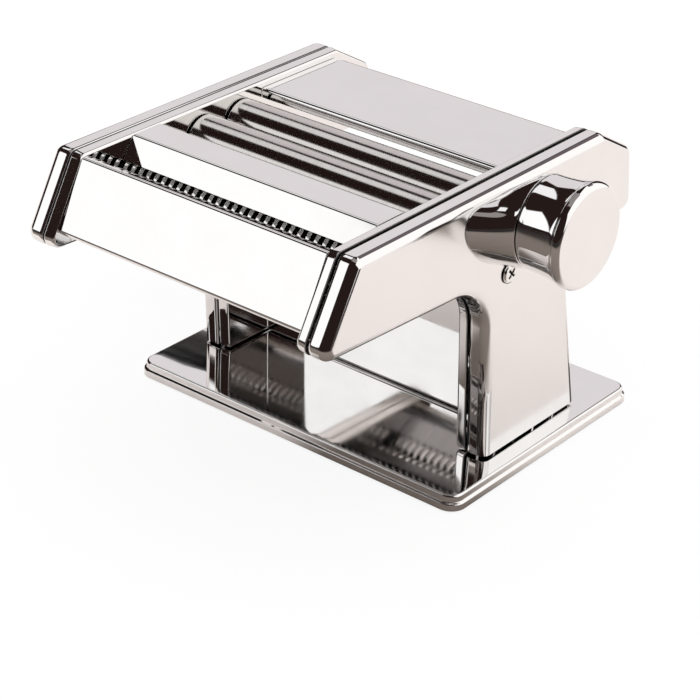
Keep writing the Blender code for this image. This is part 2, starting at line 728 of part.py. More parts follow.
def build_rolls():
    root = narrow_spacing - roll_gear_tip - gear_root_gap
    even = gear_outline(roll_gear_teeth, root, roll_gear_tip, gear_root_share, roll_tip_share)
    odd = turned_outline([Vector((-a, b)) for a, b in even], math.pi / roll_gear_teeth)
    gear_end = gear_x + gear_width
    for name, crank_end, axis in (("front_roll", driven_shaft_end_x, front_roll_axis),
                                  ("rear_roll", gear_end, rear_roll_axis)):
        turned(name, [
            (0, bearing_end_x), (roll_journal, bearing_end_x), (roll_journal, roll_half_length),
            (roll_radius - roll_chamfer, roll_half_length), (roll_radius, roll_half_length - roll_chamfer),
            (roll_radius, roll_chamfer - roll_half_length), (roll_radius - roll_chamfer, -roll_half_length),
            (roll_journal, -roll_half_length), (roll_journal, -crank_end), (0, -crank_end)],
            steel, 0, 0, 28, parent=axis)
    gear_with_hub("front_roll_gear", even, roll_journal + shaft_gap, roll_hub, front_roll_y, roll_z,
                  front_roll_axis)
    hole = list(reversed(circle(roll_journal + shaft_gap, 16)))
    flat("rear_roll_gear", [odd, hole], -gear_end, -gear_x, gear_steel, parent=rear_roll_axis)
    for side, side_name in ((-1, "crank_side"), (1, "knob_side")):
        build_bush(f"front_roll_bush_{side_name}", side, roll_journal, front_roll_y, roll_z)
    build_scraper("front_scraper", front_roll_y, 1, None)
    build_scraper("rear_scraper", rear_roll_y, -1, carriage)


def build_slides():
    """The blocks that carry the rear roll; the knob-side one also holds the cam's yoke."""
    block = [(-slide_half_width, -slide_low), (slide_half_width, -slide_low),
             (slide_half_width, slide_high), (-slide_half_width, slide_high)]
    bore = list(reversed(circle(roll_journal + shaft_gap, 16)))
    end = slide_x + slide_thickness
    flat("roll_slide_crank_side", [block, bore], -end, -slide_x, bearing_plastic, parent=carriage)
    yoke_floor = bearing_end_x + yoke_web
    yoke_end = yoke_floor + touch_gap + cam_length + touch_gap
    slide = flat("roll_slide_knob_side", [block], slide_x, yoke_end, bearing_plastic, parent=carriage)
    drill(slide, roll_journal + shaft_gap, rear_roll_y, roll_z, slide_x - 2 * mm, bearing_end_x)
    half_y = cam_radius + cam_side_gap
    half_z = cam_radius + knob_throw + 2 * touch_gap
    pocket = box_mesh("yoke", (yoke_floor, rear_roll_y - half_y, knob_z - half_z),
                      (yoke_end + 2 * mm, rear_roll_y + half_y, knob_z + half_z))
    combine(slide, cutter("yoke", pocket, (0, 0, 0), (0, 0, 0)), "DIFFERENCE")


# Thickness knob: fixed boss, spindle with its cam, spring, dial and cap

def boss_radius(angle):
    """The boss's foot, a flattened oval cut flat along its top."""
    across = abs(math.cos(angle)) / boss_reach
    down = abs(math.sin(angle)) / boss_drop
    radius = (across ** boss_power + down ** boss_power) ** (-1 / boss_power)
    if math.sin(angle) > 0.05:
        radius = (radius ** -9 + (boss_flat / math.sin(angle)) ** -9) ** (-1 / 9)
    return radius


def build_boss():
    """The boss narrows from its oval foot to the round of the dial."""
    steps = 40
    # Each row: the share of the height, the share of the round in the outline, and an inset
    rows = [(0.0, 0.0, 0.0), (0.2, 0.2, 0.0), (0.42, 0.47, 0.0), (0.65, 0.75, 0.0), (0.85, 0.94, 0.0),
            (0.96, 1.0, 0.0), (1.0, 1.0, 0.8 * mm)]
    work = bmesh.new()
    rings = []
    for share, blend, inset in rows:
        ring = []
        for k in range(steps):
            angle = 2 * math.pi * k / steps
            radius = boss_radius(angle) * (1 - blend) + dial_back_radius * blend - inset
            point = (radius * math.cos(angle), radius * math.sin(angle), boss_height * share)
            ring.append(work.verts.new(point))
        rings.append(ring)
    work.faces.new(rings[0])
    work.faces.new(rings[-1])
    for lower, upper in zip(rings, rings[1:]):
        for k in range(steps):
            after = (k + 1) % steps
            work.faces.new((lower[k], lower[after], upper[after], upper[k]))
    mesh = mesh_from(work, "knob_boss")
    mesh.shade_smooth()
    mesh.set_sharp_from_angle(angle=math.radians(35))
    boss = add_object("knob_boss", mesh, (boss_x, knob_y, knob_z), ALONG_X)
    mesh.materials.append(chrome)
    boss_end = boss_x + boss_height
    drill(boss, boss_bore, knob_y, knob_z, boss_x - 1 * mm, boss_end + 1 * mm, 20)
    pin_low = boss_end - index_pin_length
    pin_z = knob_z - index_radius
    drill(boss, index_pin_radius + touch_gap, knob_y, pin_z, pin_low, boss_end + 1 * mm, 12)
    turned("index_pin", [(0, boss_end), (index_pin_radius, boss_end - 0.4 * mm),
                         (index_pin_radius, pin_low + touch_gap), (0, pin_low + touch_gap)],
           steel, knob_y, pin_z, 12)


def build_knob():
    cam_x = bearing_end_x + yoke_web + touch_gap
    square_start = dial_x - 3 * mm
    spring_start = dial_x + dial_web + touch_gap
    retainer_back = cap_x - retainer_depth
    spindle = turned("knob_spindle", [(0, square_start + 0.5 * mm), (spindle_radius, square_start + 0.5 * mm),
                                      (spindle_radius, cam_x + 0.6 * mm), (0, cam_x + 0.6 * mm)],
                     steel, 0, 0, 20, parent=regulator)
    cam = cutter("cam", flat_mesh("cam", [circle(cam_radius, 20)], cam_x, cam_x + cam_length),
                 (0, knob_y + knob_throw, knob_z), ALONG_X)
    combine(spindle, cam, "UNION")
    half = spindle_square / 2
    square = cutter("spindle_square", box_mesh("spindle_square", (square_start, knob_y - half, knob_z - half),
                                               (retainer_back - touch_gap, knob_y + half, knob_z + half)),
                    (0, 0, 0), (0, 0, 0))
    combine(spindle, square, "UNION")
    hole_low = retainer_back - retainer_screw_length
    drill(spindle, retainer_screw_radius + screw_gap, knob_y, knob_z, hole_low, retainer_back + 1 * mm, 12)
    washer_end = retainer_back + 1.2 * mm
    head_end = retainer_back + 2.4 * mm
    turned("knob_retainer", [(0, head_end), (3.4 * mm, head_end), (3.6 * mm, washer_end),
                             (retainer_radius, washer_end), (retainer_radius, retainer_back),
                             (retainer_screw_radius, retainer_back),
                             (retainer_screw_radius, hole_low + touch_gap), (0, hole_low + touch_gap)],
           steel, 0, 0, 16, parent=regulator)
    build_spring(spring_start, retainer_back - touch_gap)
    inner_back = dial_back_radius - dial_wall
    inner_front = dial_front_radius - dial_wall
    dial = turned("thickness_dial", [
        (0, dial_x + dial_web), (inner_back, dial_x + dial_web), (inner_front, dial_front_x),
        (dial_front_radius - 0.3 * mm, dial_front_x), (dial_front_radius, dial_front_x - 0.6 * mm),
        (dial_back_radius + 0.4 * mm, dial_x + 6 * mm), (dial_back_radius, dial_x + 0.8 * mm),
        (dial_back_radius - 0.8 * mm, dial_x), (0, dial_x)], chrome, 0, 0, 32, parent=knob)
    square_hole(dial, spindle_square + 2 * touch_gap, knob_y, knob_z, dial_x - 1 * mm,
                dial_x + dial_web + 1 * mm)
    for step in range(knob_steps):
        angle = math.radians(-90) - knob_turn * step / (knob_steps - 1)
        drill(dial, index_pin_radius + touch_gap, knob_y + index_radius * math.cos(angle),
              knob_z + index_radius * math.sin(angle), dial_x - 1 * mm, dial_x + 2 * mm, 8)
    rim = [(cap_radius - cap_edge * (1 - math.cos(t)), knob_end_x - cap_edge * (1 - math.sin(t)))
           for t in [math.radians(a) for a in (90, 67, 45, 22, 0)]]
    spigot = inner_front - touch_gap - 0.2 * mm
    spigot_end = cap_x - cap_spigot
    turned("knob_cap", [(0, knob_end_x), *rim, (cap_radius, cap_x + 0.3 * mm), (cap_radius - 0.3 * mm, cap_x),
                        (spigot, cap_x), (spigot - 0.3 * mm, spigot_end), (spigot - 2 * mm, spigot_end),
                        (spigot - 2 * mm, cap_x), (0, cap_x)], chrome, 0, 0, 32, parent=knob)


def build_spring(low, high):
    """The spring that draws the knob back in, coiled round the spindle's square."""
    per_turn = 8
    curve = bpy.data.curves.new("knob_spring", "CURVE")
    curve.dimensions = "3D"
    curve.bevel_depth = spring_wire
    curve.bevel_resolution = 1
    curve.use_fill_caps = True
    spline = curve.splines.new("POLY")
    count = spring_turns * per_turn + 1
    spline.points.add(count - 1)
    run = high - low - 2 * spring_wire
    for k, point in enumerate(spline.points):
        angle = 2 * math.pi * k / per_turn
        point.co = (low + spring_wire + run * k / (count - 1), spring_coil * math.cos(angle),
                    spring_coil * math.sin(angle), 1)
    thing = bpy.data.objects.new("knob_spring", curve)
    parts.objects.link(thing)
    thing.parent = regulator
    curve.materials.append(steel)


# Cutters with their gears, bushes and stripper combs

def cutter_profile(discs, end):
    """The profile of a grooved roll, from its knob end to its crank end."""
    barrel = roll_half_length
    points = [(0, end[0]), (cutter_journal, end[0]), (cutter_journal, barrel), (cutter_core, barrel)]
    for k in reversed(range(discs)):
        middle = (k - (discs - 1) / 2) * cutter_pitch
        points += [(cutter_core, middle + disc_width / 2), (cutter_radius, middle + disc_width / 2),
                   (cutter_radius, middle - disc_width / 2), (cutter_core, middle - disc_width / 2)]
    points += [(cutter_core, -barrel), (cutter_journal, -barrel), (cutter_journal, -end[1]), (0, -end[1])]
    return points


def build_cutters():
    root = cutter_spacing - cutter_gear_tip - gear_root_gap
    even = gear_outline(cutter_gear_teeth, root, cutter_gear_tip, gear_root_share, cutter_tip_share)
    odd = turned_outline(even, math.pi / cutter_gear_teeth + math.pi)
    gear_end = gear_x + gear_width
    turned("front_cutter", cutter_profile(cutter_discs, (bearing_end_x, driven_shaft_end_x)), steel,
           0, 0, 9, parent=front_cutter_axis)
    turned("rear_cutter", cutter_profile(cutter_discs + 1, (bearing_end_x, gear_end)), steel,
           0, 0, 9, parent=rear_cutter_axis)
    gear_with_hub("front_cutter_gear", even, cutter_journal + shaft_gap, cutter_hub, cutter_front_y, cutter_z,
                  front_cutter_axis)
    hole = list(reversed(circle(cutter_journal + shaft_gap, 12)))
    flat("rear_cutter_gear", [odd, hole], -gear_end, -gear_x, gear_steel, parent=rear_cutter_axis)
    for side, side_name in ((-1, "crank_side"), (1, "knob_side")):
        for y, end in ((cutter_front_y, "front"), (cutter_rear_y, "rear")):
            build_bush(f"{end}_cutter_bush_{side_name}", side, cutter_journal, y, cutter_z)
    build_comb("front_comb", cutter_discs, cutter_front_y, 1)
    build_comb("rear_comb", cutter_discs + 1, cutter_rear_y, -1)


def build_comb(name, discs, axis_y, facing):
    """A comb whose tines lie in the grooves of one cutter and lift the ribbons out of them."""
    outline = [(sheet_end_x, -comb_length), (sheet_end_x, -comb_root)]
    for k in reversed(range(discs - 1)):
        middle = (k - (discs - 2) / 2) * cutter_pitch
        outline += [(middle + comb_tine / 2, -comb_root), (middle + comb_tine / 2, comb_tip),
                    (middle - comb_tine / 2, comb_tip), (middle - comb_tine / 2, -comb_root)]
    outline += [(-sheet_end_x, -comb_root), (-sheet_end_x, -comb_length)]
    offset = cutter_core + comb_core_gap + comb_sheet / 2
    place = (0, axis_y + facing * offset * math.sin(comb_angle), cutter_z - offset * math.cos(comb_angle))
    turn = (comb_angle, 0, 0 if facing > 0 else math.pi)
    comb = add_object(name, flat_mesh(name, [outline], -comb_sheet / 2, comb_sheet / 2), place, turn)
    comb.data.materials.append(steel)


# Crank with its turning grip

def build_crank():
    start_x = -(cover_x + hub_proud + 1.5 * mm)
    arm_x = -(cover_x + hub_proud + crank_offset)
    end_y = crank_reach * math.cos(crank_rest)
    end_z = crank_reach * math.sin(crank_rest)
    grip_x = arm_x - grip_start
    pin_end = grip_x - grip_length - touch_gap - 3.5 * mm
    corners = [Vector((start_x, 0, 0)), Vector((arm_x, 0, 0)), Vector((arm_x, end_y, end_z)),
               Vector((pin_end, end_y, end_z))]
    points = [corners[0]]
    for index, radius in ((1, crank_bend), (2, crank_end_bend)):
        here = corners[index]
        back = (corners[index - 1] - here).normalized()
        ahead = (corners[index + 1] - here).normalized()
        centre = here + (back + ahead) * radius
        for k in range(7):
            angle = math.pi / 2 * k / 6
            points.append(centre - ahead * radius * math.cos(angle) - back * radius * math.sin(angle))
    points.append(corners[3])
    curve = bpy.data.curves.new("crank_arm", "CURVE")
    curve.dimensions = "3D"
    curve.bevel_depth = crank_rod
    curve.bevel_resolution = 3
    curve.use_fill_caps = True
    spline = curve.splines.new("POLY")
    spline.points.add(len(points) - 1)
    for target, point in zip(spline.points, points):
        target.co = (*point, 1)
    shape = bpy.data.objects.new("crank_arm", curve)
    scene.collection.objects.link(shape)
    bpy.context.view_layer.update()
    raw = bpy.data.meshes.new_from_object(shape.evaluated_get(bpy.context.evaluated_depsgraph_get()))
    bpy.data.objects.remove(shape)
    work = bmesh.new()
    work.from_mesh(raw)
    bmesh.ops.remove_doubles(work, verts=work.verts, dist=0.001 * mm)
    mesh = mesh_from(work, "crank_arm")
    mesh.shade_smooth()
    mesh.set_sharp_from_angle(angle=math.radians(35))
    arm = add_object("crank_arm", mesh, parent=front_roll_axis)
    mesh.materials.append(chrome)
    half = crank_square / 2
    tip_end = -(cover_x + hub_proud) + socket_depth - touch_gap
    tip = box_mesh("tip", (start_x - 1.0 * mm, front_roll_y - half, roll_z - half),
                   (tip_end, front_roll_y + half, roll_z + half))
    combine(arm, cutter("crank_tip", tip, (0, 0, 0), (0, 0, 0)), "UNION")
    bore = crank_rod + shaft_gap
    grip_end = grip_x - grip_length
    grip_y = front_roll_y + end_y
    grip_z = roll_z + end_z
    shape = [(0.0, 0.72), (0.03, 0.80), (0.12, 0.86), (0.30, 0.98), (0.50, 1.0), (0.70, 0.96), (0.88, 0.84),
             (0.97, 0.78), (1.0, 0.70)]
    outer = [(grip_radius * scale, grip_x - grip_length * share) for share, scale in shape]
    turned("crank_grip", [(bore, grip_x), *outer, (bore, grip_end)], grip_plastic, grip_y, grip_z, 24,
           ring=True)
    nut_start = grip_end - touch_gap
    dome = [(grip_nut_radius * math.sin(t), nut_start - grip_nut_radius * math.cos(t))
            for t in [math.radians(a) for a in (90, 68, 45, 22)]]
    nut_bore_end = nut_start - 4.0 * mm
    turned("crank_grip_nut", [(0, nut_bore_end), (bore, nut_bore_end), (bore, nut_start), *dome,
                              (0, nut_start - grip_nut_radius)], chrome, grip_y, grip_z, 16)


# Empties on the joint axes carry the pieces that move together.

def axis_empty(name, y, z):
    empty = bpy.data.objects.new(name, None)
    parts.objects.link(empty)
    empty.parent = machine
    empty.location = (0, y, z)
    return empty


front_roll_axis = axis_empty("front_roll_axis", front_roll_y, roll_z)
carriage = axis_empty("rear_roll_carriage", rear_roll_y, roll_z)
rear_roll_axis = axis_empty("rear_roll_axis", rear_roll_y, roll_z)
front_cutter_axis = axis_empty("front_cutter_axis", cutter_front_y, cutter_z)
rear_cutter_axis = axis_empty("rear_cutter_axis", cutter_rear_y, cutter_z)
regulator = axis_empty("knob_spindle_axis", knob_y, knob_z)
knob = axis_empty("knob_axis", knob_y, knob_z)

build_base()
build_feet_and_base_screws()
build_side(-1, "crank_side")
build_side(1, "knob_side")
build_ties()
build_sheets()
build_rolls()
build_slides()
build_boss()
build_knob()
build_cutters()
build_crank()
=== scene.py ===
"""A hand cranked pasta maker in chromed steel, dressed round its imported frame.

Sizes are in millimetres from the machine's own middle: X runs along the rolls to the thickness knob,
-Y is the front with the cutters, and Z starts at the base plate's lower rim.
"""
import math

import bmesh
import bpy
from mathutils import Matrix, Vector


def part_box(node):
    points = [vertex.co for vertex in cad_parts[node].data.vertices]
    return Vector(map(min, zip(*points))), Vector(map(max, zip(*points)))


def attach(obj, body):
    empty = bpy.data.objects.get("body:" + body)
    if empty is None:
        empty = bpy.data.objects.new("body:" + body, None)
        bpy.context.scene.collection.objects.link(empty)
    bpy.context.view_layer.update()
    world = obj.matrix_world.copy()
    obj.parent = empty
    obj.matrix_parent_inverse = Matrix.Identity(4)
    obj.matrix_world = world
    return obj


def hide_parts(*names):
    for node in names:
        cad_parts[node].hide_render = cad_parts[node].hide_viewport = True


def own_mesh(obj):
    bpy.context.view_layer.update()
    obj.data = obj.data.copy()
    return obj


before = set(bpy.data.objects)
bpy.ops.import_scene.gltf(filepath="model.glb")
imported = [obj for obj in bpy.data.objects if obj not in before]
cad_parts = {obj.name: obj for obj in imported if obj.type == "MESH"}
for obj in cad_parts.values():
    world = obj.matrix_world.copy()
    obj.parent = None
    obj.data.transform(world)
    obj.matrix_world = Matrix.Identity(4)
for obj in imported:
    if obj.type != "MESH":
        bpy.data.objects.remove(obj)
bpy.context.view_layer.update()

# The base plate: a shallow pan pressed from chromed steel sheet, with a stepped rim that is drawn down
# all round and stands on four rubber feet. The plating is a mirror with the faint unevenness of pressed
# sheet, and wiping has left soft smears on it.

mm = 0.001
base_half_width = 106.9
base_front = -25.2
base_rear = 129.5
base_corner = 8.5
base_height = 8.0
base_sheet = 1.2
rim_step = 4.5
screw_hole = 2.4
screw_places = [(side * 82.0, y) for side in (-1, 1) for y in (30.0, 75.0)]
base_low, base_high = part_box("base_plate")
origin = Vector(((base_low.x + base_high.x) / 2, base_low.y - base_front * mm, base_low.z))


def at(x, y, z):
    """A point given in millimetres from the machine's middle, in the frame's metres."""
    return origin + Vector((x, y, z)) * mm


def linear(code):
    """An sRGB hex colour as linear red, green, blue and alpha."""
    parts = [int(code[k:k + 2], 16) / 255 for k in (1, 3, 5)]
    return (*[p / 12.92 if p <= 0.04045 else ((p + 0.055) / 1.055) ** 2.4 for p in parts], 1.0)


def add_node(tree, kind, inputs=None, **settings):
    """Adds a node with its settings; each input gets a value, or a link from another node's output."""
    made = tree.nodes.new(kind)
    for name, value in settings.items():
        setattr(made, name, value)
    for name, value in (inputs or {}).items():
        if isinstance(value, bpy.types.NodeSocket):
            tree.links.new(value, made.inputs[name])
        else:
            made.inputs[name].default_value = value
    return made


def new_material(name, **values):
    """A Principled material with these values on its sockets; returns it with its tree and shader."""
    material = bpy.data.materials.new(name)
    material.use_nodes = True
    shader = material.node_tree.nodes["Principled BSDF"]
    for key, value in values.items():
        shader.inputs[key.replace("_", " ")].default_value = value
    return material, material.node_tree, shader


def feed(shader, **outputs):
    """Links outputs of nodes to the shader's sockets."""
    for key, output in outputs.items():
        shader.id_data.links.new(output, shader.inputs[key.replace("_", " ")])


def blend_colours(tree, share, low, high):
    """A colour between two, each a hex code or a node's output."""
    values = {"Factor": share}
    for name, colour in (("A", low), ("B", high)):
        values[name] = linear(colour) if isinstance(colour, str) else colour
    return add_node(tree, "ShaderNodeMix", values, data_type="RGBA").outputs["Result"]


def ramp(tree, value, low, high, start=0.0, end=1.0, **settings):
    """Goes from start to end while the value goes from low to high."""
    limits = {"Value": value, "From Min": low, "From Max": high, "To Min": start, "To Max": end}
    return add_node(tree, "ShaderNodeMapRange", limits, **settings).outputs["Result"]


def object_place(tree):
    """The place that is shaded, in the frame's metres."""
    return add_node(tree, "ShaderNodeTexCoord").outputs["Object"]


def noise(tree, size, rings=False, **values):
    """Soft noise in clouds about so many millimetres wide, or in rings of that width round the X axis."""
    place, scale, ring_scale = object_place(tree), 1 / (size * mm), 20.0
    if rings:
        place = add_node(tree, "ShaderNodeMapping", {
            "Vector": place, "Scale": (scale, ring_scale, ring_scale)}).outputs["Vector"]
        scale = 1.0
    return add_node(tree, "ShaderNodeTexNoise", {"Vector": place, "Scale": scale, **values}).outputs["Fac"]


def bumped(tree, height, strength, depth):
    """The surface's direction where a height presses dents of this depth, in millimetres, into it."""
    dents = {"Height": height, "Strength": strength, "Distance": depth * mm}
    return add_node(tree, "ShaderNodeBump", dents).outputs["Normal"]


def mirror_plate(name, smear_size=26, wave_size=34, wave_height=0.030):
    """Bright plating over pressed sheet: long shallow waves, and smears that dull it a little."""
    material, tree, shader = new_material(name, Metallic=1.0)
    smear = noise(tree, smear_size, Detail=3.0, Roughness=0.6, Distortion=0.4)
    wave = noise(tree, wave_size, Detail=1.0)
    feed(shader, Base_Color=blend_colours(tree, smear, "#F4F3F3", "#ECEBEA"),
         Roughness=ramp(tree, smear, 0.4, 0.7, 0.03, 0.065), Normal=bumped(tree, wave, 1.0, wave_height))
    return material


chrome_plate = mirror_plate("polished_chrome_plate")


def rounded(corners, closed=True, step=6):
    """Points of an outline from corners (a, b, radius), with each arc in steps of so many degrees."""
    points = []
    for index, (a, b, radius) in enumerate(corners):
        here = Vector((a, b))
        if radius <= 0 or (not closed and index in (0, len(corners) - 1)):
            points.append(here)
            continue
        back = (Vector(corners[index - 1][:2]) - here).normalized()
        ahead = (Vector(corners[(index + 1) % len(corners)][:2]) - here).normalized()
        inner = back.angle(ahead)
        centre = here + (back + ahead).normalized() * (radius / math.sin(inner / 2))
        start = here + back * (radius / math.tan(inner / 2)) - centre
        sweep = math.pi - inner
        if back.x * ahead.y - back.y * ahead.x > 0:
            sweep = -sweep
        count = max(2, round(math.degrees(abs(sweep)) / step))
        points += [centre + Matrix.Rotation(sweep * k / count, 2) @ start for k in range(count + 1)]
    return points


def new_object(name, data):
    """An object with this data, in the scene."""
    thing = bpy.data.objects.new(name, data)
    bpy.context.scene.collection.objects.link(thing)
    return thing


def loft(name, rings, closed=True, cap_last=False):
    """A mesh through rings of points in the frame's metres, closed round each ring and over the first."""
    work = bmesh.new()
    rows = [[work.verts.new(point) for point in ring] for ring in rings]
    count = len(rows[0])
    for upper, lower in zip(rows, rows[1:]):
        for k in range(count if closed else count - 1):
            after = (k + 1) % count
            work.faces.new((upper[k], lower[k], lower[after], upper[after]))
    if closed:
        work.faces.new(rows[0])
    if cap_last:
        work.faces.new(rows[-1])
    bmesh.ops.recalc_face_normals(work, faces=work.faces)
    mesh = bpy.data.meshes.new(name)
    work.to_mesh(mesh)
    work.free()
    return new_object(name, mesh)


def wall(thing, thickness, side=-1):
    """Gives an open sheet its thickness: side -1 puts it all under the surface."""
    shell = thing.modifiers.new("wall", "SOLIDIFY")
    shell.thickness = thickness * mm
    shell.offset = side
    shell.use_even_offset = True


def evaluated_mesh(thing):
    """The object's mesh with its modifiers applied."""
    bpy.context.view_layer.update()
    return bpy.data.meshes.new_from_object(thing.evaluated_get(bpy.context.evaluated_depsgraph_get()))


def bake(thing):
    """Turns the object's modifiers into its mesh."""
    mesh, old = evaluated_mesh(thing), thing.data
    thing.modifiers.clear()
    mesh.name = old.name
    thing.data = mesh
    bpy.data.meshes.remove(old)
    return thing


sharp_angle = math.radians(35)


def settle(thing, edge=0.0):
    """Rounds the object's sharp edges, shades it smooth between them, and bakes its modifiers."""
    if edge > 0:
        arris = thing.modifiers.new("arris", "BEVEL")
        arris.width = edge * mm
        arris.segments = 2
        arris.limit_method = "ANGLE"
        arris.angle_limit = sharp_angle
        arris.harden_normals = False
    even = thing.modifiers.new("even", "WEIGHTED_NORMAL")
    even.keep_sharp = True
    even.weight = 90
    thing.data.shade_smooth()
    return bake(thing)


def cut(thing, tool, operation="DIFFERENCE"):
    """Cuts or joins with another object, which is used up."""
    step = thing.modifiers.new("cut", "BOOLEAN")
    step.operation = operation
    step.object = tool
    bake(thing)
    bpy.data.objects.remove(tool)


def turned(name, profile, centre, axis="X", steps=64):
    """A turned piece from a profile (radius, distance along the axis) through a centre line."""
    rings = []
    for k in range(steps):
        angle = 2 * math.pi * k / steps
        round_axis = [(centre[0] + r * math.cos(angle), centre[1] + r * math.sin(angle), d)
                      for r, d in profile]
        rings.append([at(d, a, b) if axis == "X" else at(a, b, d) for a, b, d in round_axis])
    rings.append(rings[0])
    thing = loft(name, rings, closed=False)
    work = bmesh.new()
    work.from_mesh(thing.data)
    bmesh.ops.remove_doubles(work, verts=work.verts, dist=0.0005 * mm)
    bmesh.ops.recalc_face_normals(work, faces=work.faces)
    work.to_mesh(thing.data)
    work.free()
    return thing


def hole(thing, radius, centre, low, high, steps=48, axis="X"):
    """Cuts a round hole from low to high along an axis."""
    cut(thing, turned("hole", [(0, high), (radius, high), (radius, low), (0, low)], centre, axis, steps))


def dress(thing, material, body, slot, *nodes):
    """Gives a piece its material and its body, and hides the plain nodes that it stands for."""
    thing.data.materials.clear()
    thing.data.materials.append(material)
    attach(thing, body)
    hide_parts(*nodes)


def base_ring(inset, level):
    """The base's outline at a height, drawn in by an inset."""
    x = base_half_width - inset
    corner = max(base_corner - inset, 1.0)
    return [at(a, b, level) for a, b in rounded([
        (x, base_front + inset, corner), (x, base_rear - inset, corner),
        (-x, base_rear - inset, corner), (-x, base_front + inset, corner)])]


base_rim = rounded([(6.0, base_height, 0), (1.5, base_height, 1.3), (1.4, base_height - 3.8, 0.45),
                    (0.0, base_height - rim_step, 0.7), (0.0, 0.0, 0)], closed=False, step=15)
base_plate = loft("base_pan", [base_ring(inset, level) for inset, level in base_rim])
wall(base_plate, base_sheet)
settle(base_plate)
for place in screw_places:
    hole(base_plate, screw_hole, place, 0, base_height + 2, 24, "Z")
dress(base_plate, chrome_plate, "frame", "chromed_steel", "base_plate")


# The feet: four moulded rubber pads pushed into the underside of the base. Rubber is dull and grey-black.
# One foot is turned and copied to the four corners.

def clouded(name, size, low, high, detail=2.0, rings=False, polish=None, relief=None, **values):
    """A material whose colour drifts between two in soft clouds, and its polish and relief with it."""
    material, tree, shader = new_material(name, **values)
    cloud = noise(tree, size, rings, Detail=detail)
    feed(shader, Base_Color=blend_colours(tree, cloud, low, high))
    if polish:
        feed(shader, Roughness=ramp(tree, cloud, 0.0, 1.0, *polish))
    if relief:
        feed(shader, Normal=bumped(tree, cloud, *relief))
    return material


rubber = clouded("moulded_rubber", 0.6, "#1B1B1C", "#2B2A2A", relief=(0.5, 0.05), Roughness=0.75, IOR=1.52)


def new_tree(name, **inputs):
    """A geometry node tree with inputs of these kinds and one output; returns it and what it is given."""
    tree = bpy.data.node_groups.new(name, "GeometryNodeTree")
    for label, kind in inputs.items():
        tree.interface.new_socket(label, in_out="INPUT", socket_type="NodeSocket" + kind)
    tree.interface.new_socket("Geometry", in_out="OUTPUT", socket_type="NodeSocketGeometry")
    return tree, add_node(tree, "NodeGroupInput").outputs


def at_points(tree, piece, points):
    """A copy of the piece's mesh at each point."""
    unit = add_node(tree, "GeometryNodeObjectInfo", {"Object": piece}).outputs["Geometry"]
    placed = add_node(tree, "GeometryNodeInstanceOnPoints", {"Points": points, "Instance": unit})
    solid = add_node(tree, "GeometryNodeRealizeInstances", {"Geometry": placed.outputs["Instances"]})
    return solid.outputs["Geometry"]


def finish_tree(tree, geometry, finish):
    """Gives the geometry its material and hands it out."""
    finished = add_node(tree, "GeometryNodeSetMaterial", {"Geometry": geometry, "Material": finish})
    add_node(tree, "NodeGroupOutput", {"Geometry": finished.outputs["Geometry"]})


def run_tree(thing, tree, **values):
    """Runs a tree with these inputs and keeps its mesh; the objects among the inputs are used up."""
    maker = thing.modifiers.new(tree.name, "NODES")
    maker.node_group = tree
    for item in tree.interface.items_tree:
        if item.in_out == "INPUT" and item.name in values:
            maker[item.identifier] = values[item.name]
    bake(thing)
    for value in values.values():
        if isinstance(value, bpy.types.Object):
            bpy.data.objects.remove(value)
    return thing


def copies(name, places, unit, material):
    """One mesh with a copy of the unit piece at each offset (x, y, z) in millimetres."""
    points = bpy.data.meshes.new(name)
    points.from_pydata([Vector(place) * mm for place in places], [], [])
    tree, given = new_tree("copies_at_points", Geometry="Geometry", Piece="Object", Finish="Material")
    finish_tree(tree, at_points(tree, given["Piece"], given["Geometry"]), given["Finish"])
    return run_tree(new_object(name, points), tree, Piece=unit, Finish=material)


fitting_gap = 0.3
foot_stand = 0.8
foot_radius = 8.0
foot_inset = 16.5
foot_dimple = 4.0
foot_top = base_height - base_sheet - fitting_gap
foot = turned("foot", [
    (0, foot_top), (foot_radius, foot_top), (foot_radius, 1.0), (foot_radius - 0.3, 0.2),
    (foot_radius - 1.0, -foot_stand + 0.1), (foot_radius - 1.4, -foot_stand), (foot_dimple, -foot_stand),
    (foot_dimple - 0.4, -foot_stand + 0.5), (0, -foot_stand + 0.5)], (0, 0), "Z", 48)
foot_places = [(side * (base_half_width - foot_inset), y, 0) for side in (-1, 1)
               for y in (base_front + foot_inset, base_rear - foot_inset)]
corner_names = [f"{end}_{side}" for end in ("front", "rear") for side in ("knob_side", "crank_side")]
feet = settle(copies("rubber_feet", foot_places, foot, rubber))
dress(feet, rubber, "frame", "foot_rubber", *["foot_" + corner for corner in corner_names])


# The base screws: pan-head machine screws with a cross recess, driven up through the pan into the legs.
# They are nickel plated, which is a little warmer and duller than chrome.

nickel = clouded("nickel_plated_steel_turned", 7, "#CFCAC4", "#B9B4AF", 4.0, polish=(0.14, 0.26),
                 Metallic=1.0)


def cross_recess(thing, reach, depth, tip, direction):
    """Cuts a cross-shaped driver recess into a screw head whose top is at the tip, facing the direction."""
    out = Vector(direction)
    side = out.orthogonal().normalized()
    for across in (side, out.cross(side)):
        along = out.cross(across)
        rings = [[tip + (across * a * reach * scale + along * b * reach * 0.2 * scale - out * sink) * mm
                  for a, b in ((-1, -1), (1, -1), (1, 1), (-1, 1))]
                 for scale, sink in ((1.0, -0.6), (1.0, 0.0), (0.35, depth))]
        cut(thing, loft("recess", rings, cap_last=True))


